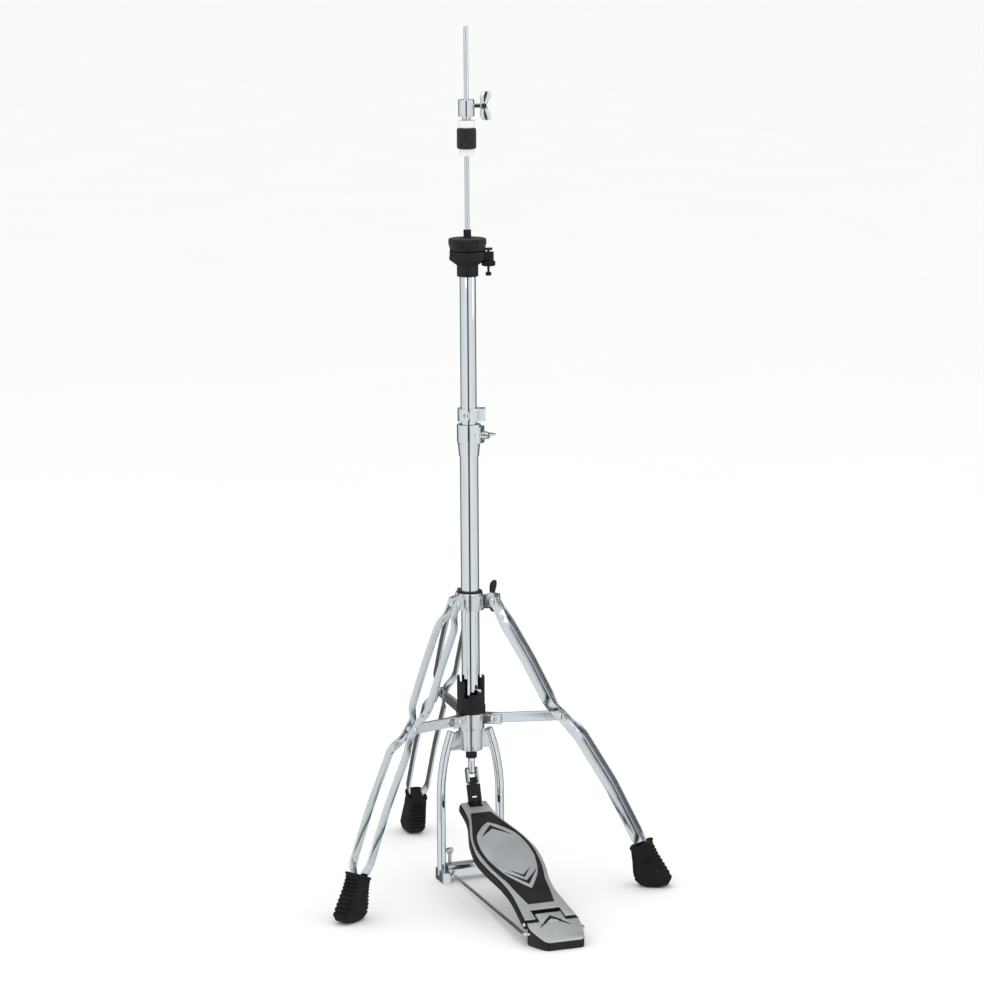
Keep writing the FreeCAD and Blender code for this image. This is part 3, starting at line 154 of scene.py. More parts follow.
def coat(tree, shader, colour, roughness):
    """Tie a varying colour and roughness to the shader."""
    tree.links.new(colour, shader.inputs["Base Color"])
    tree.links.new(roughness, shader.inputs["Roughness"])


# %% [markdown]
# ### Metals
# Chrome plate is a mirror with a grey-blue cast; real chromium throws back only about two
# thirds of the light. What makes it look real is what it mirrors, plus faint wipe marks and
# pores. The bent strips are plated over rolled steel, so they carry a slight waviness. The
# castings are satin, with a fine orange-peel skin.

# %% Metal finishes
def plated(name, colour, rough_low, rough_high, wave, pores):
    """A plated metal: mirror-like, with wipe marks and a waviness of its own."""
    material, tree, shader, place = new_finish(name, metallic=1.0)
    wipe = noise(tree, stretched(tree, place, (60, 60, 9)), 3.0, 3.0)
    dust = noise(tree, place, 420.0, 3.0)
    swell = noise(tree, place, 55.0, 1.5)
    pale = tuple(min(channel * 1.07, 1) for channel in colour)
    coat(tree, shader, tint(tree, wipe, colour, pale),
         spread(tree, wipe, rough_low, rough_high))
    relief(tree, weighed(tree, dust, pores, swell), shader, wave)
    return material


CHROME = plated("chrome_plate", (0.68, 0.72, 0.745), 0.025, 0.07, 0.00006, 0.02)
STRIP = plated("plated_strip", (0.63, 0.67, 0.70), 0.09, 0.17, 0.00016, 0.05)
CASTING = plated("satin_casting", (0.64, 0.66, 0.68), 0.14, 0.24, 0.00012, 0.12)
SPRING_STEEL = plated("zinc_steel", (0.52, 0.54, 0.55), 0.18, 0.3, 0.0002, 0.2)


def silver_paint(name, colour):
    """Metallic paint: satin, with fine flakes and a faint cloudiness."""
    material, tree, shader, place = new_finish(name, metallic=0.6)
    flake = noise(tree, place, 2600.0, 2.0)
    cloud = noise(tree, place, 34.0, 4.0)
    dark = tuple(channel * 0.88 for channel in colour)
    speckle = weighed(tree, flake, 0.35, spread(tree, cloud, 0.1, 0.45))
    coat(tree, shader, tint(tree, speckle, dark, colour), spread(tree, cloud, 0.34, 0.46))
    relief(tree, flake, shader, 0.00002)
    return material


SILVER = silver_paint("silver_paint", (0.60, 0.62, 0.63))
BADGE_SILVER = silver_paint("badge_silver", (0.66, 0.68, 0.70))

# %% [markdown]
# ### Plastics, rubber and felt
# Black is never one black. Moulded nylon has a faint spark-eroded grain and soft gloss,
# rubber is duller with a grey bloom, paint is smoother with a tight gloss, and felt is matt
# with tangled fibres and a little sheen at grazing angles.

# %% Dark and soft finishes
def moulded(name, dark, light, rough_low, rough_high, grain, depth, specular=0.4):
    """A moulded or painted surface with its grain."""
    material, tree, shader, place = new_finish(name, specular=specular)
    cloud = noise(tree, place, 45.0, 5.0)
    coat(tree, shader, tint(tree, cloud, dark, light),
         spread(tree, cloud, rough_low, rough_high))
    relief(tree, noise(tree, place, grain, 3.0), shader, depth)
    return material


NYLON = moulded("black_nylon", (0.007, 0.008, 0.009), (0.015, 0.016, 0.018),
                0.34, 0.48, 1500.0, 0.00005, 0.2)
BLACK_PAINT = moulded("black_paint", (0.007, 0.007, 0.009), (0.013, 0.013, 0.015),
                      0.28, 0.4, 900.0, 0.00003, 0.25)
RUBBER = moulded("boot_rubber", (0.006, 0.006, 0.007), (0.016, 0.016, 0.017),
                 0.55, 0.72, 1100.0, 0.00009, 0.15)
GRIP = moulded("grip_rubber", (0.011, 0.012, 0.014), (0.020, 0.021, 0.024),
               0.42, 0.56, 1900.0, 0.00008, 0.2)
WHITE_NYLON = moulded("white_nylon", (0.80, 0.81, 0.80), (0.88, 0.89, 0.88),
                      0.3, 0.42, 900.0, 0.00003, 0.45)
milky = WHITE_NYLON.node_tree.nodes["Principled BSDF"].inputs
milky["Subsurface Weight"].default_value = 0.2
milky["Subsurface Scale"].default_value = 0.002


def pressed_felt(name, dark, light):
    """Felt: tangled fibres that run every way, matt, with a soft sheen."""
    material, tree, shader, place = new_finish(name, specular=0.15)
    shader.inputs["Roughness"].default_value = 0.95
    shader.inputs["Sheen Weight"].default_value = 0.08
    shader.inputs["Sheen Roughness"].default_value = 0.6
    fibres = noise(tree, stretched(tree, place, (1.0, 1.0, 2.4)), 1300.0, 6.0, 0.7)
    cloud = noise(tree, place, 160.0, 4.0)
    tangle = weighed(tree, fibres, 0.6, spread(tree, cloud, 0.0, 0.4))
    tree.links.new(tint(tree, tangle, dark, light), shader.inputs["Base Color"])
    relief(tree, tangle, shader, 0.0003)
    return material


CLUTCH_FELT = pressed_felt("clutch_felt", (0.010, 0.011, 0.012), (0.030, 0.032, 0.034))
SEAT_FELT = pressed_felt("seat_felt", (0.007, 0.007, 0.008), (0.022, 0.022, 0.023))
print("finishes", len(bpy.data.materials))

# %% [markdown]
# ## Mesh helpers
# A piece is made as a bmesh in place, at the origin and unscaled, then dressed: one call
# gives it its material and body and hides the CAD node that it stands for. Turned pieces
# come from one lathe helper, and a CAD node whose shape is right is taken over by `refine`,
# which merges its loose triangles, rounds its sharp edges and shades it smooth.

# %% Piece helpers
MERGE = 1e-6
CAD_MERGE = 2e-6
POLE_MERGE = 1e-7
FLAT_ANGLE = math.radians(0.6)
SLOTS = {row["node"]: row["material_slot"] for row in frame["record"]["subparts"]}


def body_of(node):
    """The CAD body that a node belongs to."""
    return frame["nodes"][node]["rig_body"]


def in_scene(name, data):
    """A new object at the origin, linked to the scene."""
    made = bpy.data.objects.new(name, data)
    bpy.context.scene.collection.objects.link(made)
    return made


def plain_mesh(name, bm):
    """Empty a bmesh into a new mesh."""
    mesh = bpy.data.meshes.new(name)
    bm.to_mesh(mesh)
    bm.free()
    return mesh


def mesh_from(name, bm):
    """A plain mesh from a bmesh, with its faces turned outwards."""
    bmesh.ops.recalc_face_normals(bm, faces=bm.faces)
    return plain_mesh(name, bm)


def evaluated_mesh(piece):
    """What a piece's modifiers make of it, as a plain mesh."""
    bpy.context.view_layer.update()
    graph = bpy.context.evaluated_depsgraph_get()
    return bpy.data.meshes.new_from_object(piece.evaluated_get(graph))


def flatten(piece):
    """Turn a piece's modifiers into plain mesh and remove them."""
    mesh = evaluated_mesh(piece)
    piece.modifiers.clear()
    piece.data = mesh


def settle(piece, body, finish, nodes=(), bevel=0.0, segments=2):
    """Finish a mesh object: rounding, smooth shading, material and body; the CAD nodes it
    replaces are hidden.
    """
    piece.data.materials.clear()
    piece.data.materials.append(finish)
    if bevel:
        rounding = piece.modifiers.new("rounded_edges", "BEVEL")
        rounding.width = bevel
        rounding.segments = segments
        rounding.limit_method = "ANGLE"
        rounding.angle_limit = SMOOTH_ANGLE
        rounding.harden_normals = False
        flatten(piece)
    piece.data.shade_smooth()
    piece.data.set_sharp_from_angle(angle=SMOOTH_ANGLE)
    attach(piece, body)
    if nodes:
        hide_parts(*nodes)


def dress(name, bm, body, finish, nodes=(), bevel=0.0, segments=2):
    """Make a piece from a bmesh and tie it to its CAD body."""
    bmesh.ops.remove_doubles(bm, verts=bm.verts, dist=MERGE)
    settle(in_scene(name, mesh_from(name, bm)), body, finish, nodes, bevel, segments)


def cad_copy(node):
    """A CAD node's loose triangles, copied and merged."""
    bm = bmesh.new()
    bm.from_mesh(frame["nodes"][node].data)
    bmesh.ops.remove_doubles(bm, verts=bm.verts, dist=CAD_MERGE)
    return bm


def join_flats(bm):
    """Make one face of each flat patch of triangles."""
    bmesh.ops.dissolve_limit(bm, angle_limit=FLAT_ANGLE, verts=bm.verts, edges=bm.edges)


def refine(node, finish, bevel, segments=2):
    """Take over a CAD node whose shape is right, with rounded edges and smooth shading."""
    bm = cad_copy(node)
    bmesh.ops.dissolve_degenerate(bm, edges=bm.edges, dist=MERGE)
    join_flats(bm)
    name = node + "_made"
    settle(in_scene(name, plain_mesh(name, bm)), body_of(node), finish, [node],
           bevel, segments)


def skin(rings, joined=False):
    """A skin over point rings of one count: ends capped, or the last joined to the first."""
    bm = bmesh.new()
    rows = [[bm.verts.new(point) for point in ring] for ring in rings]
    for lower, upper in zip(rows, rows[1:] + (rows[:1] if joined else [])):
        for index in range(len(lower)):
            following = (index + 1) % len(lower)
            bm.faces.new((lower[index], lower[following], upper[following], upper[index]))
    if not joined:
        bm.faces.new(rows[0][::-1])
        bm.faces.new(rows[-1])
    return bm


def joined_mesh(parts):
    """Several bmeshes as one."""
    whole = bmesh.new()
    for part in parts:
        spare = plain_mesh("spare", part)
        whole.from_mesh(spare)
        bpy.data.meshes.remove(spare)
    return whole


def turns(count):
    """Evenly spaced angles round a full turn."""
    return [2 * math.pi * step / count for step in range(count)]


def lathe(profile, count=72, axis=Vector((0, 0, 1)), origin=Vector()):
    """A turned solid: the profile is a closed outline of (radius, height) in millimetres."""
    bm = bmesh.new()
    tilt = Vector((0, 0, 1)).rotation_difference(axis).to_matrix()
    columns = [[bm.verts.new(origin + tilt @ (Vector((
        radius * math.cos(angle), radius * math.sin(angle), height)) * MM))
        for radius, height in profile] for angle in turns(count)]
    for near, far in zip(columns, columns[1:] + columns[:1]):
        for low in range(len(profile)):
            high = (low + 1) % len(profile)
            if profile[low][0] or profile[high][0]:
                bm.faces.new((near[low], far[low], far[high], near[high]))
    bmesh.ops.remove_doubles(bm, verts=bm.verts, dist=POLE_MERGE)
    bmesh.ops.dissolve_degenerate(bm, edges=bm.edges, dist=POLE_MERGE)
    return bm


def plan(angle, reach, height, aside=0.0):
    """A point from its plan angle, reach, height and side step, in millimetres."""
    turn = math.radians(angle)
    return Vector((reach * math.cos(turn) - aside * math.sin(turn),
                   reach * math.sin(turn) + aside * math.cos(turn), height)) * MM


# %% [markdown]
# ## Camera, floor and light
# The camera stands left of the pedal's line, a little above the middle of the stand, with a
# long lens. Chrome only shows what is round it, so the sky that it mirrors holds the studio:
# two broad white walls, a narrow dark strip between them and a dark flag at the far end of
# each, which draw the thin dark lines along every tube.

# %% Camera
VIEW_TURN = math.radians(-20.27)
VIEW_TILT = math.radians(10.45)
VIEW_ROLL = math.radians(-0.38)
VIEW_DISTANCE = 4.79405
VIEW_LENS = 127.39
TARGET_HEIGHT = 0.55133
TARGET_SHIFT = 0.03123

forward = Vector((-math.sin(VIEW_TURN) * math.cos(VIEW_TILT),
                  math.cos(VIEW_TURN) * math.cos(VIEW_TILT), -math.sin(VIEW_TILT)))
right = Vector((math.cos(VIEW_TURN), math.sin(VIEW_TURN), 0))
upward = right.cross(forward)
rolled_right = right * math.cos(VIEW_ROLL) + upward * math.sin(VIEW_ROLL)
rolled_up = upward * math.cos(VIEW_ROLL) - right * math.sin(VIEW_ROLL)
target = Vector((0, 0, TARGET_HEIGHT)) + right * TARGET_SHIFT
camera_data = bpy.data.cameras.new("camera")
camera_data.lens = VIEW_LENS
camera_data.sensor_width = 36
camera_data.clip_end = 60
camera = in_scene("camera", camera_data)
camera.matrix_world = Matrix((rolled_right, rolled_up, -forward)).transposed().to_4x4()
camera.location = target - forward * VIEW_DISTANCE
bpy.context.scene.camera = camera
bpy.context.scene.view_settings.view_transform = "Standard"
print("camera at", [round(v, 3) for v in camera.location])

# %% Studio light
SKY_BANDS = [(0.0, 0.40), (0.08, 0.14), (0.13, 0.10), (0.16, 0.45), (0.19, 0.85), (0.36, 0.95),
             (0.445, 1.0), (0.468, 0.7), (0.480, 0.05), (0.516, 0.05), (0.528, 0.7),
             (0.555, 1.0), (0.66, 0.95), (0.80, 0.85), (0.83, 0.45), (0.87, 0.10),
             (0.92, 0.14)]
SKY_CAST = (0.97, 0.99, 1.0)


def mirrored_apart(tree, seen, mirrored, output):
    """One shader for plain rays and another for what glossy surfaces mirror."""
    rays = add_node(tree, "ShaderNodeLightPath")
    choose = add_node(tree, "ShaderNodeMixShader", {
        "Fac": rays.outputs["Is Glossy Ray"], 1: seen, 2: mirrored})
    tree.links.new(choose.outputs["Shader"], tree.nodes[output].inputs["Surface"])


def studio_world():
    """A white sky; mirrors see light and dark bands, read by the angle round the stand."""
    world = bpy.data.worlds.new("studio")
    world.use_nodes = True
    tree = world.node_tree
    sky = tree.nodes["Background"]
    sky.inputs["Color"].default_value = (1, 1, 1, 1)
    sky.inputs["Strength"].default_value = 1.0
    place = add_node(tree, "ShaderNodeTexCoord").outputs["Generated"]
    turned = add_node(tree, "ShaderNodeVectorRotate", {"Angle": -VIEW_TURN, "Vector": place},
                      rotation_type="Z_AXIS")
    parts = add_node(tree, "ShaderNodeSeparateXYZ", {"Vector": turned.outputs["Vector"]})
    angle = add_node(tree, "ShaderNodeMath", {
        0: parts.outputs["X"], 1: times(tree, parts.outputs["Y"], -1)}, operation="ARCTAN2")
    share = add_node(tree, "ShaderNodeMapRange", {
        "From Min": -math.pi, "From Max": math.pi, "Value": angle.outputs[0]})
    bands = add_node(tree, "ShaderNodeValToRGB", {"Fac": share.outputs["Result"]})
    stops = bands.color_ramp.elements
    while len(stops) < len(SKY_BANDS):
        stops.new(0.5)
    for element, (position, level) in zip(stops, SKY_BANDS):
        element.position = position
        element.color = (*[level * channel for channel in SKY_CAST], 1)
    banded = add_node(tree, "ShaderNodeBackground", {
        "Strength": 1.0, "Color": bands.outputs["Color"]})
    mirrored_apart(tree, sky.outputs["Background"], banded.outputs["Background"],
                   "World Output")
    bpy.context.scene.world = world


def softbox(name, place, power, wide, tall):
    """An area light that faces the stand."""
    data = bpy.data.lights.new(name, "AREA")
    data.shape = "RECTANGLE"
    data.size = wide
    data.size_y = tall
    data.energy = power
    lamp = in_scene(name, data)
    lamp.location = place
    aim = Vector((0, 0, 0.5)) - Vector(place)
    lamp.rotation_euler = aim.to_track_quat("-Z", "Y").to_euler()


def pale_floor():
    """A wide plain floor."""
    bm = bmesh.new()
    bmesh.ops.create_grid(bm, x_segments=1, y_segments=1, size=60)
    floor = in_scene("floor", plain_mesh("floor", bm))
    material, tree, shader, place = new_finish("pale_floor", specular=0.1)
    shader.inputs["Roughness"].default_value = 0.9
    cloud = noise(tree, place, 2.0, 2.0)
    tree.links.new(tint(tree, cloud, (0.955, 0.975, 0.96), (0.965, 0.985, 0.97)),
                   shader.inputs["Base Color"])
    unseen = add_node(tree, "ShaderNodeBsdfTransparent")
    mirrored_apart(tree, shader.outputs["BSDF"], unseen.outputs["BSDF"], "Material Output")
    floor.data.materials.append(material)


studio_world()
pale_floor()
softbox("key_softbox", (-2.6, -2.4, 2.6), 11, 1.8, 2.2)
softbox("fill_softbox", (2.8, -1.6, 2.0), 7, 1.6, 2.2)
softbox("top_softbox", (0.2, 0.4, 3.4), 9, 2.4, 2.4)

# %% [markdown]
# ## Geometry Nodes kit
# What repeats is laid out by small node trees: rivets on points, ridges round a knurled nut,
# flutes round a sleeve and bars that follow a path. Each tree has named inputs, ends in
# Realize Instances and Set Material, and its result is turned into plain mesh straight away.

# %% Geometry Nodes helpers
def new_tree(name, inputs):
    """An empty node tree with its named inputs, and the outputs of its input node."""
    tree = bpy.data.node_groups.new(name, "GeometryNodeTree")
    for label, kind in [("Geometry", "Geometry"), *inputs, ("Finish", "Material")]:
        tree.interface.new_socket(label, in_out="INPUT", socket_type="NodeSocket" + kind)
    tree.interface.new_socket("Geometry", in_out="OUTPUT", socket_type="NodeSocketGeometry")
    return tree, add_node(tree, "NodeGroupInput").outputs


def close_tree(tree, source, geometry):
    """The tree's common end: real geometry with its material."""
    real = add_node(tree, "GeometryNodeRealizeInstances", {"Geometry": geometry})
    paint = add_node(tree, "GeometryNodeSetMaterial", {
        "Geometry": real.outputs["Geometry"], "Material": source["Finish"]})
    add_node(tree, "NodeGroupOutput", {"Geometry": paint.outputs["Geometry"]})
    return tree


def grow(name, tree, base, values, body, finish, nodes=()):
    """Run a tree on a base mesh or curve and keep the result as a plain piece."""
    host = in_scene(name, base)
    modifier = host.modifiers.new(name, "NODES")
    modifier.node_group = tree
    values = {**values, "Finish": finish}
    for item in tree.interface.items_tree:
        if item.in_out == "INPUT" and item.name in values:
            modifier[item.identifier] = values[item.name]
    mesh = evaluated_mesh(host)
    bpy.data.objects.remove(host)
    settle(in_scene(name, mesh), body, finish, nodes)


def points_mesh(name, places, directions):
    """Loose points, each with the direction that its instance faces."""
    mesh = bpy.data.meshes.new(name)
    mesh.from_pydata([tuple(p) for p in places], [], [])
    attribute = mesh.attributes.new("facing", "FLOAT_VECTOR", "POINT")
    attribute.data.foreach_set("vector", [v for d in directions for v in d])
    return mesh


def rivet_tree():
    """A dome-headed rivet at both ends of a shank, on every point."""
    tree, source = new_tree("dome_rivets", [
        ("Half Length", "Float"), ("Shank Radius", "Float"), ("Head Radius", "Float"),
        ("Head Height", "Float")])
    shank = add_node(tree, "GeometryNodeMeshCylinder", {
        "Vertices": 32, "Depth": times(tree, source["Half Length"], 2),
        "Radius": source["Shank Radius"]})
    rivet = add_node(tree, "GeometryNodeJoinGeometry", {0: shank.outputs["Mesh"]})
    size = add_node(tree, "ShaderNodeCombineXYZ", {
        "X": source["Head Radius"], "Y": source["Head Radius"], "Z": source["Head Height"]})
    dome = add_node(tree, "GeometryNodeMeshUVSphere", {
        "Segments": 32, "Rings": 16, "Radius": 1.0})
    for side in (-1, 1):
        move = add_node(tree, "ShaderNodeCombineXYZ",
                        {"Z": times(tree, source["Half Length"], side)})
        head = add_node(tree, "GeometryNodeTransform", {
            "Geometry": dome.outputs["Mesh"], "Scale": size.outputs[0],
            "Translation": move.outputs[0]})
        tree.links.new(head.outputs["Geometry"], rivet.inputs[0])
    facing = add_node(tree, "GeometryNodeInputNamedAttribute", {"Name": "facing"},
                      data_type="FLOAT_VECTOR")
    turn = add_node(tree, "FunctionNodeAlignRotationToVector",
                    {"Vector": facing.outputs["Attribute"]}, axis="Z")
    placed = add_node(tree, "GeometryNodeInstanceOnPoints", {
        "Points": source["Geometry"], "Instance": rivet.outputs["Geometry"],
        "Rotation": turn.outputs["Rotation"]})
    return close_tree(tree, source, placed.outputs["Instances"])


def swept_tree():
    """A round bar along a path."""
    tree, source = new_tree("bar_on_path", [("Radius", "Float")])
    ring = add_node(tree, "GeometryNodeCurvePrimitiveCircle", {
        "Resolution": 24, "Radius": source["Radius"]})
    bar = add_node(tree, "GeometryNodeCurveToMesh", {
        "Fill Caps": True, "Curve": source["Geometry"],
        "Profile Curve": ring.outputs["Curve"]})
    return close_tree(tree, source, bar.outputs["Mesh"])


def ridge_tree():
    """Ridges laid evenly round an axis, for knurls and flutes."""
    tree, source = new_tree("ridges_round_axis", [
        ("Count", "Int"), ("Reach", "Float"), ("Height", "Float"), ("Ridge Radius", "Float"),
        ("Centre", "Vector")])
    ring = add_node(tree, "GeometryNodeMeshCircle", {
        "Vertices": source["Count"], "Radius": source["Reach"]})
    ridge = add_node(tree, "GeometryNodeMeshCylinder", {
        "Vertices": 10, "Radius": source["Ridge Radius"], "Depth": source["Height"]})
    placed = add_node(tree, "GeometryNodeInstanceOnPoints", {
        "Points": ring.outputs["Mesh"], "Instance": ridge.outputs["Mesh"]})
    moved = add_node(tree, "GeometryNodeTransform", {
        "Geometry": placed.outputs["Instances"], "Translation": source["Centre"]})
    joined = add_node(tree, "GeometryNodeJoinGeometry", {0: source["Geometry"]})
    tree.links.new(moved.outputs["Geometry"], joined.inputs[0])
    return close_tree(tree, source, joined.outputs["Geometry"])


RIVETS = rivet_tree()
BAR_ON_PATH = swept_tree()
RIDGES = ridge_tree()

# %% [markdown]
# ## Tubes, rod and castings
# These shapes are right as designed, so they are taken over with rounded edges. The bevel
# width says how the real piece was finished: a hair's breadth on cut tube, more on castings.

# %% Carried-over metal pieces
def refine_all(rows):
    """Take over CAD nodes by rows of finish, bevel in millimetres, bevel steps and names."""
    for finish, bevel, segments, nodes in rows:
        for node in nodes:
            refine(node, finish, bevel * MM, segments)


refine_all([
    (CHROME, 0.25, 2, ["lower_tube", "upper_tube"]),
    (CHROME, 0.15, 2, ["lower_rod", "upper_rod"]),
    (CHROME, 0.5, 2, ["rod_eye", "memory_lock", "receiver", "clutch_body", "tension_pin"]),
    (CASTING, 0.6, 2, ["hub", "lower_collar", "leg_collar"]),
    (CASTING, 0.7, 2, ["crossbar", "foot_blocks"]),
    (CHROME, 0.3, 2, ["yoke"]),
    (SPRING_STEEL, 0.25, 2, ["spur_left", "spur_right"]),
    (NYLON, 0.25, 2, ["tilt_screw"]),
    (SPRING_STEEL, 0.35, 2, ["rod_coupling", "chain_link"]),
    (BLACK_PAINT, 0.35, 2, ["tilt_plate"]),
    (CHROME, 0.3, 2, ["hinge_pin"]),
    (SPRING_STEEL, 0.0, 2, ["return_spring"])])

# %% [markdown]
# ## Moulded and painted pieces
# The bushes, the cup and the connector are black mouldings, and the toe bracket is painted.
# The washer and the nut of the clutch are white nylon. Most edges are rounder than those of
# the metal pieces.

# %% Carried-over black and white pieces
refine_all([
    (NYLON, 0.4, 2, ["guide_bush", "receiver_bush", "top_bush"]),
    (NYLON, 0.9, 3, ["seat_cup"]),
    (BLACK_PAINT, 0.25, 2, ["toe_bracket"]),
    (NYLON, 0.8, 3, ["connector"]),
    (WHITE_NYLON, 0.5, 2, ["clutch_washer", "clutch_nut"])])

# %% Collar ring
TUBE_BORE = 12.85
BAND = 4.0
ring_low, ring_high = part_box("collar_ring")
ring_radius = ring_high.x / MM
ring_floor, ring_roof = ring_low.z / MM, ring_high.z / MM
dress("collar_ring_turned", lathe([
    (TUBE_BORE, ring_floor), (ring_radius - 2.4, ring_floor),
    (ring_radius - 2.4, ring_floor + BAND), (ring_radius - 0.9, ring_floor + BAND + 0.2),
    (ring_radius - 0.4, ring_floor + BAND + 1.0), (ring_radius - 0.9, ring_roof - 0.3),
    (ring_radius - 2.0, ring_roof), (TUBE_BORE, ring_roof)], 96),
    "leg_collar", NYLON, ["collar_ring"])
dress("collar_band", lathe([
    (ring_radius - 2.3, ring_floor), (ring_radius - 0.4, ring_floor),
    (ring_radius, ring_floor + 0.4), (ring_radius, ring_floor + BAND - 0.4),
    (ring_radius - 0.4, ring_floor + BAND), (ring_radius - 2.3, ring_floor + BAND)], 96),
    "leg_collar", CHROME)

# %% [markdown]
# ## Radius rods
# Two thin bent rods tie the foot blocks to the heel, so that the pedal can't slide away. A
# bar of one thickness along a bent path is what Curve to Mesh is for: only the path's few
# corners are given, and the bends are eased by the same helper that the leg strips use.

# %% Eased paths
BEND_STEPS = 8


def eased(corners, reach):
    """A path through corners, each bend eased over a reach by a short curve."""
    spots = [Vector(corner) for corner in corners]
    path = [spots[0]]
    for before, corner, after in zip(spots, spots[1:], spots[2:]):
        back = min(reach, (before - corner).length * 0.48)
        ahead = min(reach, (after - corner).length * 0.48)
        start = corner + (before - corner).normalized() * back
        end = corner + (after - corner).normalized() * ahead
        for step in range(BEND_STEPS + 1):
            share = step / BEND_STEPS
            path.append(start * (1 - share) ** 2 + corner * 2 * share * (1 - share)
                        + end * share ** 2)
    path.append(spots[-1])
    return path


def poly_curve(name, strands):
    """A curve object's data with one poly spline for each strand."""
    data = bpy.data.curves.new(name, "CURVE")
    data.dimensions = "3D"
    for strand in strands:
        spline = data.splines.new("POLY")
        spline.points.add(len(strand) - 1)
        for point, place in zip(spline.points, strand):
            point.co = (*place, 1)
    return data


# %% Radius rods
ROD_RADIUS = 2.2 * MM
ROD_FRONT = -0.0100
ROD_BEND = 0.006
rods_low, rods_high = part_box("radius_rods")
rod_level = rods_low.z + ROD_RADIUS
rear_level = rods_high.z - ROD_RADIUS
heel_end = rods_low.y + ROD_RADIUS
strands = [eased([(side * 0.0437, ROD_FRONT, rod_level), (side * 0.0292, ROD_FRONT, rod_level),
                  (side * 0.0418, heel_end, rear_level), (side * 0.0320, heel_end, rear_level)],
                 ROD_BEND) for side in (-1, 1)]
grow("radius_rods_bent", BAR_ON_PATH, poly_curve("rod_paths", strands),
     {"Radius": ROD_RADIUS}, "base", CHROME, ["radius_rods"])

# %% [markdown]
# ## Leg strips
# Each leg is a pair of flat bars, close together where a rivet joins them and spread between.
# They are bent twice on edge and bowed a little, with a half-round top round the hinge. A
# strip is a rounded rectangle swept along its bent centreline; the section is kept square to
# the path, so the bar twists nowhere.

# %% Leg strips
LEGS = {"right": -30, "rear": 90, "left": 210}
STRIP_WIDE = 13.6
STRIP_THICK = 2.8
STRIP_BEND = 9.0
HEAD_STEPS = 8
HEAD_TIP = 0.9
CLOSE = 5.8
APART = 15.0
ELBOW_REACH, ELBOW_HEIGHT = 127.5, 240.1
STRIP_PATH = [(31.2, CLOSE, 405.8), (42.7, CLOSE, 385.0), (50.5, APART, 371.0),
              (81.6, APART, 317.6), (108.5, APART, 264.5), (115.5, CLOSE, 250.5),
              (ELBOW_REACH, CLOSE, ELBOW_HEIGHT), (137.6, CLOSE, 228.5), (152.5, APART, 215.5),
              (196.6, APART, 144.6), (233.7, APART, 71.0), (240.5, CLOSE, 57.0),
              (258.5, CLOSE, 21.0)]
CORNER = 0.7
SECTION_STEPS = 4


def rounded_section(wide, thick, corner):
    """Points of a rounded rectangle: across the leg's plane, then through its thickness."""
    points = []
    for quarter, (sx, sy) in enumerate(((1, 1), (-1, 1), (-1, -1), (1, -1))):
        for step in range(SECTION_STEPS):
            angle = math.pi / 2 * (quarter + step / (SECTION_STEPS - 1))
            points.append((sx * (wide / 2 - corner) + corner * math.cos(angle),
                           sy * (thick / 2 - corner) + corner * math.sin(angle)))
    return points


def strip_mesh(angle, side):
    """One bent strip, in a leg's plane turned to its plan angle."""
    path = eased([(r, side * y, z) for r, y, z in STRIP_PATH], STRIP_BEND)
    turn = Matrix.Rotation(math.radians(angle), 3, "Z")
    radius = STRIP_WIDE / 2
    along = (path[1] - path[0]).normalized()
    quarters = [step / HEAD_STEPS * math.pi / 2 for step in range(HEAD_STEPS)]
    head = [path[0] + along * (radius * (1 - math.cos(quarter))) for quarter in quarters]
    widths = [max(radius * math.sin(quarter), HEAD_TIP) for quarter in quarters]
    path = head + [path[0] + along * radius] + path[1:]
    widths += [radius] * (len(path) - len(widths))
    rings = []
    for index, (spot, half) in enumerate(zip(path, widths)):
        before = path[max(index - 1, 0)]
        after = path[min(index + 1, len(path) - 1)]
        along = (after - before).normalized()
        across = Vector((0, 1, 0)).cross(along).normalized()
        through = along.cross(across).normalized()
        rings.append([turn @ (spot + across * (u * half / radius) + through * v) * MM
                      for u, v in rounded_section(STRIP_WIDE, STRIP_THICK, CORNER)])
    return skin(rings)


for leg, angle in LEGS.items():
    for name, side in (("near", -1), ("far", 1)):
        dress(f"{leg}_{name}_strip_bent", strip_mesh(angle, side), f"{leg}_leg",
              STRIP, [f"{leg}_leg_{name}_strip"])
    refine(f"{leg}_strut", STRIP, 0.7 * MM, 3)
print("strips", 2 * len(LEGS))

# %% [markdown]
# ### Rivets
# A dome-headed rivet closes every hinge of the tripod. One tree makes them all: a shank with
# a flattened dome at each end, set on points that carry the direction they face.

# %% Rivets
HINGES = {"leg_rivets": ("leg_collar", 33.7, 400.2, 7.6),
          "strut_rivets": ("lower_collar", 32.7, 233.3, 7.4)}


def dome_rivets(name, places, facing, sizes, body, nodes=()):
    """A set of like rivets: half length, shank radius, head radius and head height."""
    labels = ("Half Length", "Shank Radius", "Head Radius", "Head Height")
    values = {label: size * MM for label, size in zip(labels, sizes)}
    grow(name, RIVETS, points_mesh(name, places, facing), values, body, CHROME,
         nodes)


for node, (body, reach, height, half) in HINGES.items():
    dome_rivets(f"{node}_domed", [plan(angle, reach, height) for angle in LEGS.values()],
                [plan(angle + 90, 1000, 0) for angle in LEGS.values()],
                (half, 3.0, 4.6, 2.0), body, [node])
for leg, angle in LEGS.items():
    dome_rivets(f"{leg}_elbow_rivets",
                [plan(angle, ELBOW_REACH, ELBOW_HEIGHT, side * CLOSE) for side in (-1, 1)],
                [plan(angle + 90, 1000, 0)] * 2, (1.5, 3.4, 4.4, 1.7), f"{leg}_leg")
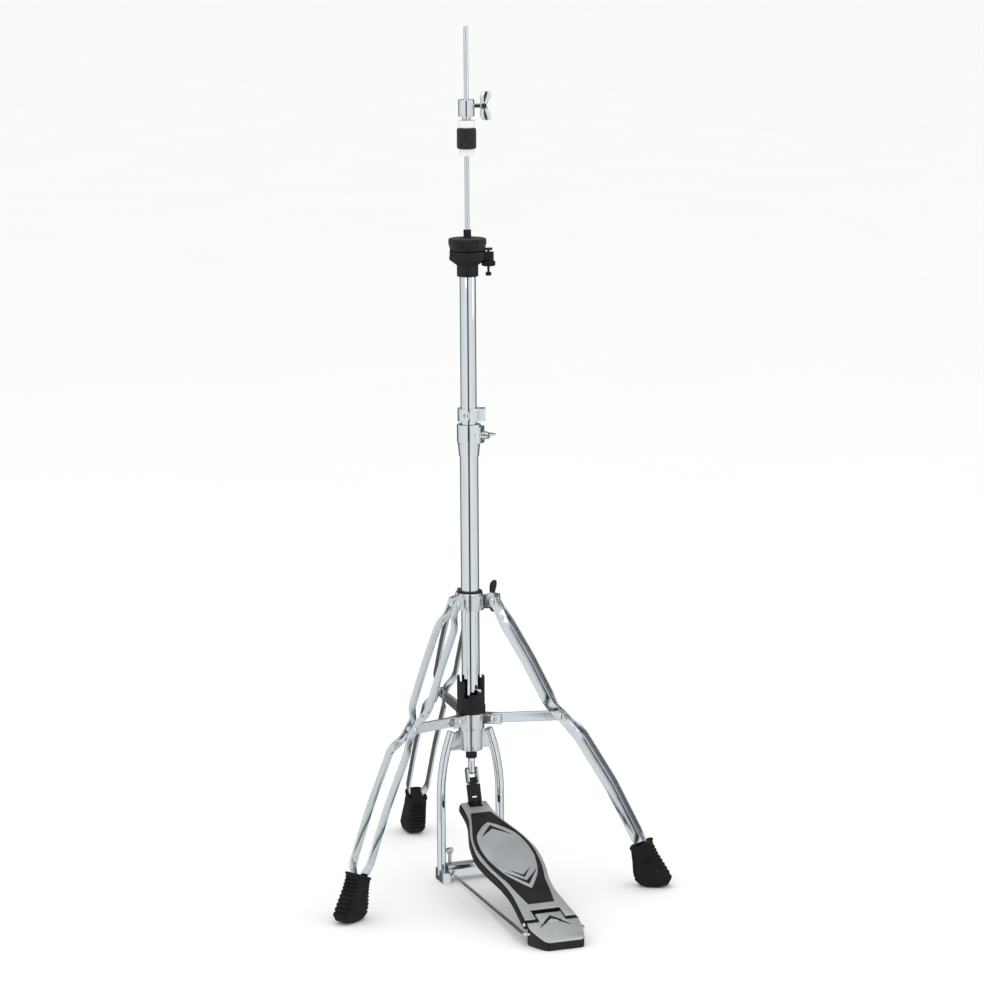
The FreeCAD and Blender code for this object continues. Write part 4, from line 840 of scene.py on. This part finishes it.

# %% [markdown]
# ## Rubber boots
# A boot is a loft from the rim round the two strips to an oblique, rounded sole. Its front
# and back edges are two given lines in the leg's plane; every section between them is a
# rounded box. The fins are a wave along the height that fades out towards the flat side
# panel, and the sole ends flat on the floor.

# %% Boots
BOOT_BACK = [(0.0, 225.5, 54.5), (0.06, 225.2, 50.0), (0.35, 226.5, 38.0), (0.7, 228.0, 18.0),
             (0.86, 231.0, 8.5), (0.95, 238.0, 2.6), (1.0, 246.0, 0.0)]
BOOT_FRONT = [(0.0, 252.5, 66.0), (0.06, 254.5, 62.0), (0.35, 262.5, 46.0), (0.7, 276.0, 24.0),
              (0.86, 281.8, 12.5), (0.95, 278.0, 4.6), (1.0, 266.0, 0.0)]
BOOT_HALF = [(0.0, 12.6), (0.06, 13.6), (0.35, 13.4), (0.7, 14.2), (0.86, 14.6), (0.95, 13.0),
             (1.0, 9.0)]
BOOT_RINGS = 120
BOOT_SIDES = 56
SQUARENESS = 0.55
SIDE_PANEL = 0.7
FINS = 9
FIN_START = 0.10
FIN_END = 0.86
FIN_DEPTH = 2.3
LIP_CENTRE = Vector((239.2, 0, 59.6))
LIP_HALF = Vector((14.3, 0, 6.2))
LIP_SIDE = 13.4
LIP_RISE = Vector((-0.4, 0, 0.92))
BEAD_WIDE, BEAD_TALL = 1.7, 1.9


def along_line(line, share):
    """Smoothly read a given line at a share of its length."""
    for low, high in zip(line, line[1:]):
        if share <= high[0]:
            part = (share - low[0]) / (high[0] - low[0])
            return [a + (b - a) * part for a, b in zip(low[1:], high[1:])]
    return list(line[-1][1:])


def squared_oval(count):
    """Points round an oval with squared corners, each from -1 to 1 along and across."""
    for turned in turns(count):
        yield [abs(wave) ** SQUARENESS * math.copysign(1, wave)
               for wave in (math.cos(turned), math.sin(turned))]


def fin_depth(share, edge):
    """How far the fins cut in, in millimetres: none on the side panel and at the ends."""
    if not FIN_START < share < FIN_END:
        return 0.0
    phase = (share - FIN_START) / (FIN_END - FIN_START) * FINS
    groove = max(0.0, math.sin(2 * math.pi * phase)) ** 0.5
    return FIN_DEPTH * groove * max(0.0, min(1.0, (edge - 0.62) / 0.2))


def boot_mesh(angle):
    """The lofted boot of the leg at a plan angle."""
    turn = Matrix.Rotation(math.radians(angle), 3, "Z")
    rings = []
    for ring in range(BOOT_RINGS + 1):
        share = ring / BOOT_RINGS
        back = Vector(along_line(BOOT_BACK, share))
        front = Vector(along_line(BOOT_FRONT, share))
        half_side = along_line(BOOT_HALF, share)[0]
        middle = (back + front) / 2
        half = (front - back) / 2
        points = []
        for lean, side in squared_oval(BOOT_SIDES):
            cut = fin_depth(share, abs(lean))
            shrink = 1 - cut / half.length
            panel = SIDE_PANEL if abs(lean) < 0.6 and 0.16 < share < 0.8 else 0.0
            spot = middle + half * lean * shrink
            points.append(turn @ Vector((spot.x, side * (half_side + panel - cut * 0.5),
                                         max(spot.y, 0.0))) * MM)
        rings.append(points)
    return skin(rings)


def boot_lip(angle):
    """The raised lip round the top of a boot, where the strips go in."""
    turn = Matrix.Rotation(math.radians(angle), 3, "Z")
    rings = []
    for lean, side in squared_oval(48):
        reach = LIP_HALF * lean + Vector((0, LIP_SIDE * side, 0))
        outward = reach.normalized()
        rings.append([turn @ (LIP_CENTRE + reach + outward * (BEAD_WIDE * math.cos(bead))
                              + LIP_RISE * (BEAD_TALL * math.sin(bead))) * MM
                      for bead in turns(12)])
    return skin(rings, joined=True)


for leg, angle in LEGS.items():
    dress(f"{leg}_boot_ribbed", boot_mesh(angle), f"{leg}_leg", RUBBER,
          [f"{leg}_boot"])
    dress(f"{leg}_boot_lip", boot_lip(angle), f"{leg}_leg", RUBBER)

# %% [markdown]
# ## Wing bolts
# The wings are cast: a round hub with two cupped lobes that swell towards rounded tips. A
# lobe is skinned over ovals that follow a gentle outward curve, so it catches the light like
# the real one. The tripod's bolt has black wings on a bright hub.

# %% Wing bolts
LOBE_RINGS = 22
LOBE_SIDES = 20
LOBE_ROOT = 3.8
LOBE_WIDE = 7.4
LOBE_THICK = 2.1
LOBE_FLARE = 3.6
SWELL_END = 0.62
TIP_START = 0.72
WING_LIFT = 4.2


def lobe(origin, out, along, side, length):
    """One wing lobe: ovals from the hub out to a rounded tip."""
    third = out.cross(along).normalized()
    rings = []
    for step in range(LOBE_RINGS + 1):
        share = step / LOBE_RINGS
        tip = max((share - TIP_START) / (1 - TIP_START), 0)
        close = math.sqrt(max(1 - tip ** 2, 0.0004))
        swell = math.sin(math.pi / 2 * min(share / SWELL_END, 1)) ** 1.6
        wide = (LOBE_ROOT + (LOBE_WIDE - LOBE_ROOT) * swell) * close
        deep = LOBE_THICK * (1.35 - 0.5 * share) * close
        middle = (origin + out * (LOBE_FLARE * share ** 1.6)
                  + along * (side * (1.5 + length * share)))
        rings.append([(middle + out * (wide * math.cos(turned))
                       + third * (deep * math.sin(turned))) * MM
                      for turned in turns(LOBE_SIDES)])
    return skin(rings)


def wing_bolt(node, angle, height, hub, span, upright, finish, shank_from):
    """A whole wing bolt on its plan angle: wings, hub and shank."""
    out = plan(angle, 1000, 0)
    across = Vector((0, 0, 1)) if upright else plan(angle + 90, 1000, 0)
    origin = plan(angle, hub + WING_LIFT, height) / MM
    body, slot = body_of(node), SLOTS[node]
    wings = joined_mesh([lobe(origin, out, across, side, span) for side in (-1, 1)])
    dress(f"{node}_wings", wings, body, finish, [node])
    profile = [(0, shank_from - hub), (3, shank_from - hub), (3, -1.0), (4.4, -1.0),
               (5.2, -0.2), (5.4, 2.0), (5.2, 7.2), (4.2, 8.6), (0, 9.0)]
    dress(f"{node}_hub", lathe(profile, 40, out, plan(angle, hub, height)), body,
          CHROME)


wing_bolt("clutch_wing", -20, 1081.6, 20.0, 18.6, True, CHROME, 5.0)
wing_bolt("receiver_wing", -45, 632.4, 21.5, 14.0, False, CHROME, 13.4)
wing_bolt("collar_wing", 30, 396.7, 44.0, 21.5, True, NYLON, 15.8)

# %% [markdown]
# ## Spring tension sleeve
# The black sleeve turns on the tube, and a cross pin drops into one of its steps, which sets
# how hard the spring pulls back. The stepped window is cut with a Boolean: wedge-shaped
# cutters, one for each step, taken from a turned shell, on both sides of the tube.

# %% Tension sleeve
PIN_ANGLE = -72.0
PIN_LEVEL = 271.6
STEP_PITCH = 19.0
STEP_FLOORS = {-3: -8.1, -2: -3.9, -1: -3.9, 0: -0.2, 1: 3.5}
CUT_FROM, CUT_TO = 14.5, 24.0
CUT_ABOVE = 3.0
TAB_TURN = 52.0
TAB_DROP = 5.5
SLEEVE_BORE = 12.75


def wedge_block(start, end, low, high):
    """A closed block between two plan angles and two heights."""
    count = max(2, int((end - start) / 4))
    corners = ((CUT_FROM, low), (CUT_TO, low), (CUT_TO, high), (CUT_FROM, high))
    return skin([[plan(start + (end - start) * step / count, reach, height)
                  for reach, height in corners] for step in range(count + 1)])


def tension_sleeve():
    """The turned shell with its two stepped windows."""
    low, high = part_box("tension_sleeve")
    bottom, top = low.z / MM, high.z / MM
    outer = high.x / MM
    shell = lathe([(SLEEVE_BORE, bottom), (outer - 0.8, bottom), (outer, bottom + 0.8),
                   (outer, bottom + 10), (outer - 0.9, bottom + 12), (outer - 0.9, top - 0.6),
                   (outer - 1.5, top), (outer - 3.2, top), (outer - 3.2, bottom + 12),
                   (SLEEVE_BORE, bottom + 12)], 120)
    blocks = []
    for half_turn in (0, 180):
        middle = PIN_ANGLE + half_turn
        for number, floor in STEP_FLOORS.items():
            start = middle + (number - 0.5) * STEP_PITCH
            blocks.append(wedge_block(start, start + STEP_PITCH + 0.02, PIN_LEVEL + floor,
                                      top + CUT_ABOVE))
        blocks.append(wedge_block(middle + 1.5 * STEP_PITCH + TAB_TURN,
                                  middle + 180 - 3.5 * STEP_PITCH, top - TAB_DROP,
                                  top + CUT_ABOVE))
    cutter = in_scene("step_cutter", mesh_from("step_cutter", joined_mesh(blocks)))
    piece = in_scene("stepped_sleeve", mesh_from("stepped_sleeve", shell))
    cut = piece.modifiers.new("steps", "BOOLEAN")
    cut.object = cutter
    cut.solver = "EXACT"
    cut.use_self = True
    flatten(piece)
    bpy.data.objects.remove(cutter)
    settle(piece, "tension_sleeve", NYLON, ["tension_sleeve"], 0.35 * MM)


tension_sleeve()

# %% [markdown]
# ## Cymbal seat and clutch
# The bottom cymbal rests on a felt disc and is centred by a fluted sleeve. The clutch holds
# the top cymbal between two felts. Felt is cut from sheet, so its corners are worn round,
# and where the two felts meet there is only a faint line.

# %% Seat and clutch pieces
seat_low, seat_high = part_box("seat_disc")
seat_bottom, seat_top = seat_low.z / MM, seat_high.z / MM
dress("seat_disc_worn", lathe([
    (5.7, seat_bottom), (24.2, seat_bottom), (24.6, seat_bottom + 0.4), (24.9, seat_bottom + 4.2),
    (25.8, seat_bottom + 5.0), (26.0, seat_bottom + 5.6), (26.0, seat_top - 2.6),
    (25.6, seat_top - 1.0), (24.6, seat_top - 0.3), (23.0, seat_top), (5.7, seat_top)], 96),
    "tilter", SEAT_FELT, ["seat_disc"])
sleeve_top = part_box("seat_sleeve")[1].z / MM
SLEEVE_HOLE, FLUTE_REACH = 4.25, 4.8
sleeve_shell = lathe([
    (SLEEVE_HOLE, seat_bottom), (5.6, seat_bottom), (5.6, seat_top), (5.4, seat_top + 0.8),
    (FLUTE_REACH, seat_top + 2.4), (FLUTE_REACH, sleeve_top - 0.5), (4.5, sleeve_top),
    (SLEEVE_HOLE, sleeve_top)], 48)
grow("seat_sleeve_fluted", RIDGES, mesh_from("seat_sleeve_shell", sleeve_shell),
     {"Count": 14, "Reach": FLUTE_REACH * MM, "Height": (sleeve_top - seat_top - 0.9) * MM,
      "Ridge Radius": 0.5 * MM, "Centre": (0.0, 0.0, (sleeve_top + seat_top) / 2 * MM)},
     "tilter", NYLON, ["seat_sleeve"])
nut_low, nut_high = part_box("tilt_nut")
nut_middle = (nut_low + nut_high) / 2
nut_radius = (nut_high.x - nut_low.x) / 2
nut_half = (nut_high.z - nut_low.z) / 2
nut_body = lathe([(1.75, -nut_half / MM), (7.6, -nut_half / MM), (8.9, -nut_half / MM + 1.2),
                  (8.9, nut_half / MM - 1.2), (7.6, nut_half / MM), (1.75, nut_half / MM)],
                 64, origin=nut_middle)
grow("tilt_nut_knurled", RIDGES, mesh_from("tilt_nut_body", nut_body),
     {"Count": 30, "Reach": nut_radius - 0.8 * MM, "Height": 2 * nut_half - 2.0 * MM,
      "Ridge Radius": 0.72 * MM, "Centre": tuple(nut_middle)},
     "tilt_nut", NYLON, ["tilt_nut"])
felt_low, felt_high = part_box("clutch_felts")
felt_bottom, felt_top = felt_low.z / MM, felt_high.z / MM
felt_middle = (felt_bottom + felt_top) / 2
felt_edge = 13.2
dress("clutch_felts_pressed", joined_mesh([
    lathe([(5.25, low), (felt_edge - first, low), (felt_edge - first * 0.3, low + first * 0.3),
           (felt_edge, low + first), (felt_edge + 0.1, (low + high) / 2),
           (felt_edge, high - last), (felt_edge - last * 0.3, high - last * 0.3),
           (felt_edge - last, high), (5.25, high)], 96)
    for low, high, first, last in ((felt_bottom, felt_middle - 0.05, 2.2, 0.5),
                                   (felt_middle + 0.05, felt_top, 0.5, 2.2))]),
    "clutch", CLUTCH_FELT, ["clutch_felts"])

# %% [markdown]
# ## Footboard
# The board's outline swells under the ball of the foot and narrows to a waist before the
# heel. A list of half widths and a smooth curve through it give the outline of each plate:
# the silver top plate, the black grip and the almond badge. Each plate is a prism of its
# outline with rounded edges, laid on the board's sloping plane.

# %% Footboard outlines
BOARD_SLOPE = math.radians(15.2)
BOARD_ORIGIN = Vector((0, -0.0063, 0.1123))
BOARD_TURN = Matrix.Rotation(BOARD_SLOPE, 3, "X")
BOARD_LENGTH = 308
BOARD_EDGE = [(0, 20.3), (29, 21.8), (51, 25.4), (90, 37.4), (122, 43.6), (147, 45.2),
              (177, 41.6), (206, 35.6), (238, 32.6), (268, 34.0), (BOARD_LENGTH, 37.6)]
GRIP_EDGE = [(31, 14.6), (66, 25.2), (100, 35.6), (133, 39.4), (172, 36.4), (200, 30.8),
             (213, 27.5), (244, 23.2), (272, 18.6)]
BADGE_EDGE = [(60, 0.4), (70, 12.0), (88, 25.2), (104, 31.0), (126, 34.0), (146, 34.0),
              (162, 32.2), (195, 23.6), (222, 9.0), (235, 0.4)]


def smooth_edge(line, count=10):
    """A smooth curve through an outline's points."""
    spots = [Vector((half, -run)) for run, half in line]
    curve = [spots[0]]
    for index in range(len(spots) - 1):
        first = spots[max(index - 1, 0)]
        start, end = spots[index], spots[index + 1]
        last = spots[min(index + 2, len(spots) - 1)]
        for step in range(1, count + 1):
            t = step / count
            curve.append(0.5 * (2 * start + (end - first) * t
                                + (2 * first - 5 * start + 4 * end - last) * t ** 2
                                + (3 * start - first - 3 * end + last) * t ** 3))
    return curve


def on_board(x, y, level):
    """A point given on the board's own plane, in millimetres."""
    return BOARD_ORIGIN + BOARD_TURN @ (Vector((x, y, level)) * MM)


def plate(outline, low, high, place=on_board):
    """A prism of a closed outline between two levels."""
    return skin([[place(x, y, level) for x, y in outline] for level in (low, high)])


def both_sides(curve, closing=()):
    """A closed outline from its right-hand curve, mirrored, with a shape at the heel end."""
    half = [(p.x, p.y) for p in curve] + list(closing)
    return half + [(-x, y) for x, y in reversed(half)]


# %% Footboard plates
NOTCH_HALF = 21.0
RIM = 1.5
NOTCH_START = 285.5
notch = [(NOTCH_HALF, -BOARD_LENGTH), (NOTCH_HALF, -NOTCH_START)]
rim = [(run, half - RIM) for run, half in BOARD_EDGE]
dress("footboard_skin", plate(both_sides(smooth_edge(rim), notch), -2.4, 0.0),
      "footboard", SILVER, ["footboard_top"], 0.9 * MM, 3)
dress("grip_pad", plate(both_sides(smooth_edge(GRIP_EDGE)), -0.6, 0.9),
      "footboard", GRIP, ["grip_inset"], 0.5 * MM, 3)
dress("badge_plate", plate(both_sides(smooth_edge(BADGE_EDGE)), 0.5, 1.7),
      "footboard", BADGE_SILVER, (), 0.45 * MM, 3)


# %% Chassis and heel, drawn in to their outlines
def reshape(node, finish, planes, move):
    """Take over a CAD node, cut it across at some planes and move its points."""
    bm = cad_copy(node)
    join_flats(bm)
    for spot, normal in planes:
        bmesh.ops.bisect_plane(bm, geom=bm.verts[:] + bm.edges[:] + bm.faces[:],
                               plane_co=spot, plane_no=normal)
    for vert in bm.verts:
        vert.co = move(vert.co)
    dress(f"{node}_drawn_in", bm, body_of(node), finish, [node], 0.6 * MM)


BOARD_BACK = BOARD_TURN.inverted()
TOE_HALF = 0.0202


def run_of(place):
    """How far a point is from the toe along the board, in millimetres."""
    return -(BOARD_BACK @ (place - BOARD_ORIGIN)).y / MM


cad_edge = sorted((round(run_of(v.co), 1), abs(v.co.x) / MM)
                  for v in frame["nodes"]["footboard_top"].data.vertices
                  if abs(v.co.x) > TOE_HALF)
edge_curve = sorted((-p.y, p.x) for p in smooth_edge(BOARD_EDGE))


def read_curve(curve, run):
    """The half width that a sorted curve gives at a run."""
    for low, high in zip(curve, curve[1:]):
        if low[0] <= run <= high[0] and high[0] > low[0]:
            return low[1] + (high[1] - low[1]) * (run - low[0]) / (high[0] - low[0])
    return curve[0][1] if run < curve[0][0] else curve[-1][1]


def drawn_in(place):
    """A chassis point, moved in from the CAD outline to the board's fuller curve."""
    run = max(0.0, min(run_of(place), BOARD_LENGTH))
    ratio = read_curve(edge_curve, run) / read_curve(cad_edge, run)
    return Vector((place.x * min(ratio, 1.0), place.y, place.z))


reshape("footboard_chassis", BLACK_PAINT, (), drawn_in)


def chevron(apex, wing, drop, width, taper):
    """A V-shaped outline: the apex's run, the arm's reach and drop, and its widths."""
    end = -(apex + drop)
    arm = [(0, -apex), (wing, end), (wing - taper, end - math.copysign(taper, drop) * 0.2),
           (0, -(apex + math.copysign(width, drop)))]
    return arm + [(-x, y) for x, y in arm[-2:0:-1]]


for name, outline in (
        ("badge_chevron_toe", chevron(67.5, 22.0, 29.0, 10.0, 0.6)),
        ("badge_chevron_heel_inner", chevron(208, 15.5, -22.0, -6.0, 0.5)),
        ("badge_chevron_heel_outer", chevron(226, 23.5, -35.0, -9.5, 0.6))):
    dress(name, plate(outline, 1.4, 1.95), "footboard", BLACK_PAINT, (),
          0.12 * MM)
screw_spot = on_board(0, -41, 1.15)
screw_axis = BOARD_TURN @ Vector((0, 0, 1))
dress("grip_screw", lathe([(0, -1.2), (2.9, -1.2), (2.9, 0.1), (2.2, 0.75), (1.0, 0.95),
                           (0.9, 0.3), (0, 0.3)], 32, screw_axis, screw_spot),
      "footboard", BLACK_PAINT)

# %% [markdown]
# ## Heel plate
# The silver heel plate covers the heel base, and its tongue fills the notch of the footboard
# over the hinge. It lies on a plane of its own, a little steeper than the board.

# %% Heel plate
CREASE_GAP = 0.02
HEEL_FACE = math.atan2(14.75, 37.75)
PLATE_CREASE = Vector((0, -0.31225, 0.02836))
TONGUE_CREASE = Vector((0, -0.31221, 0.02919))
HEEL_FRONT = -0.318
HEEL_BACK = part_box("heel_base")[0].y
LEFT_TAPER = 0.36
RIGHT_TAPER = 0.14
TAPER_BEND = 1.25
HEEL_CUTS = 6


def tapered(place):
    """A heel point, drawn in towards the rear, more on the left-hand side."""
    share = max(0.0, min((HEEL_FRONT - place.y) / (HEEL_FRONT - HEEL_BACK), 1.0))
    taper = LEFT_TAPER if place.x < 0 else RIGHT_TAPER
    return Vector((place.x * (1 - taper * share ** TAPER_BEND), place.y, place.z))


heel_planes = [(Vector((0, HEEL_FRONT + (HEEL_BACK - HEEL_FRONT) * step / HEEL_CUTS, 0)),
                Vector((0, 1, 0))) for step in range(HEEL_CUTS)]
reshape("heel_plate", SILVER, heel_planes, tapered)
reshape("heel_base", BLACK_PAINT, heel_planes, tapered)


def on_heel(x, y, level):
    """A point on the heel: y runs forward from the crease, up the tongue's plane."""
    slope = HEEL_FACE if y < 0 else BOARD_SLOPE
    crease = PLATE_CREASE if y < 0 else TONGUE_CREASE
    return crease + Vector((x, y * math.cos(slope) - level * math.sin(slope),
                            y * math.sin(slope) + level * math.cos(slope))) * MM


def heel_chevron():
    """The V on the heel plate: laid flat, cut along the crease, then folded over it."""
    bm = plate(chevron(-13.0, 22.0, 23.0, 7.5, 1.0), -0.4, 0.3,
               lambda x, y, level: Vector((x, y, level)))
    for cut in (-CREASE_GAP, CREASE_GAP):
        bmesh.ops.bisect_plane(bm, geom=bm.verts[:] + bm.edges[:] + bm.faces[:],
                               plane_co=(0, cut, 0), plane_no=(0, 1, 0))
    for vert in bm.verts:
        vert.co = on_heel(*vert.co)
    dress("heel_chevron", bm, "base", BLACK_PAINT)


heel_chevron()
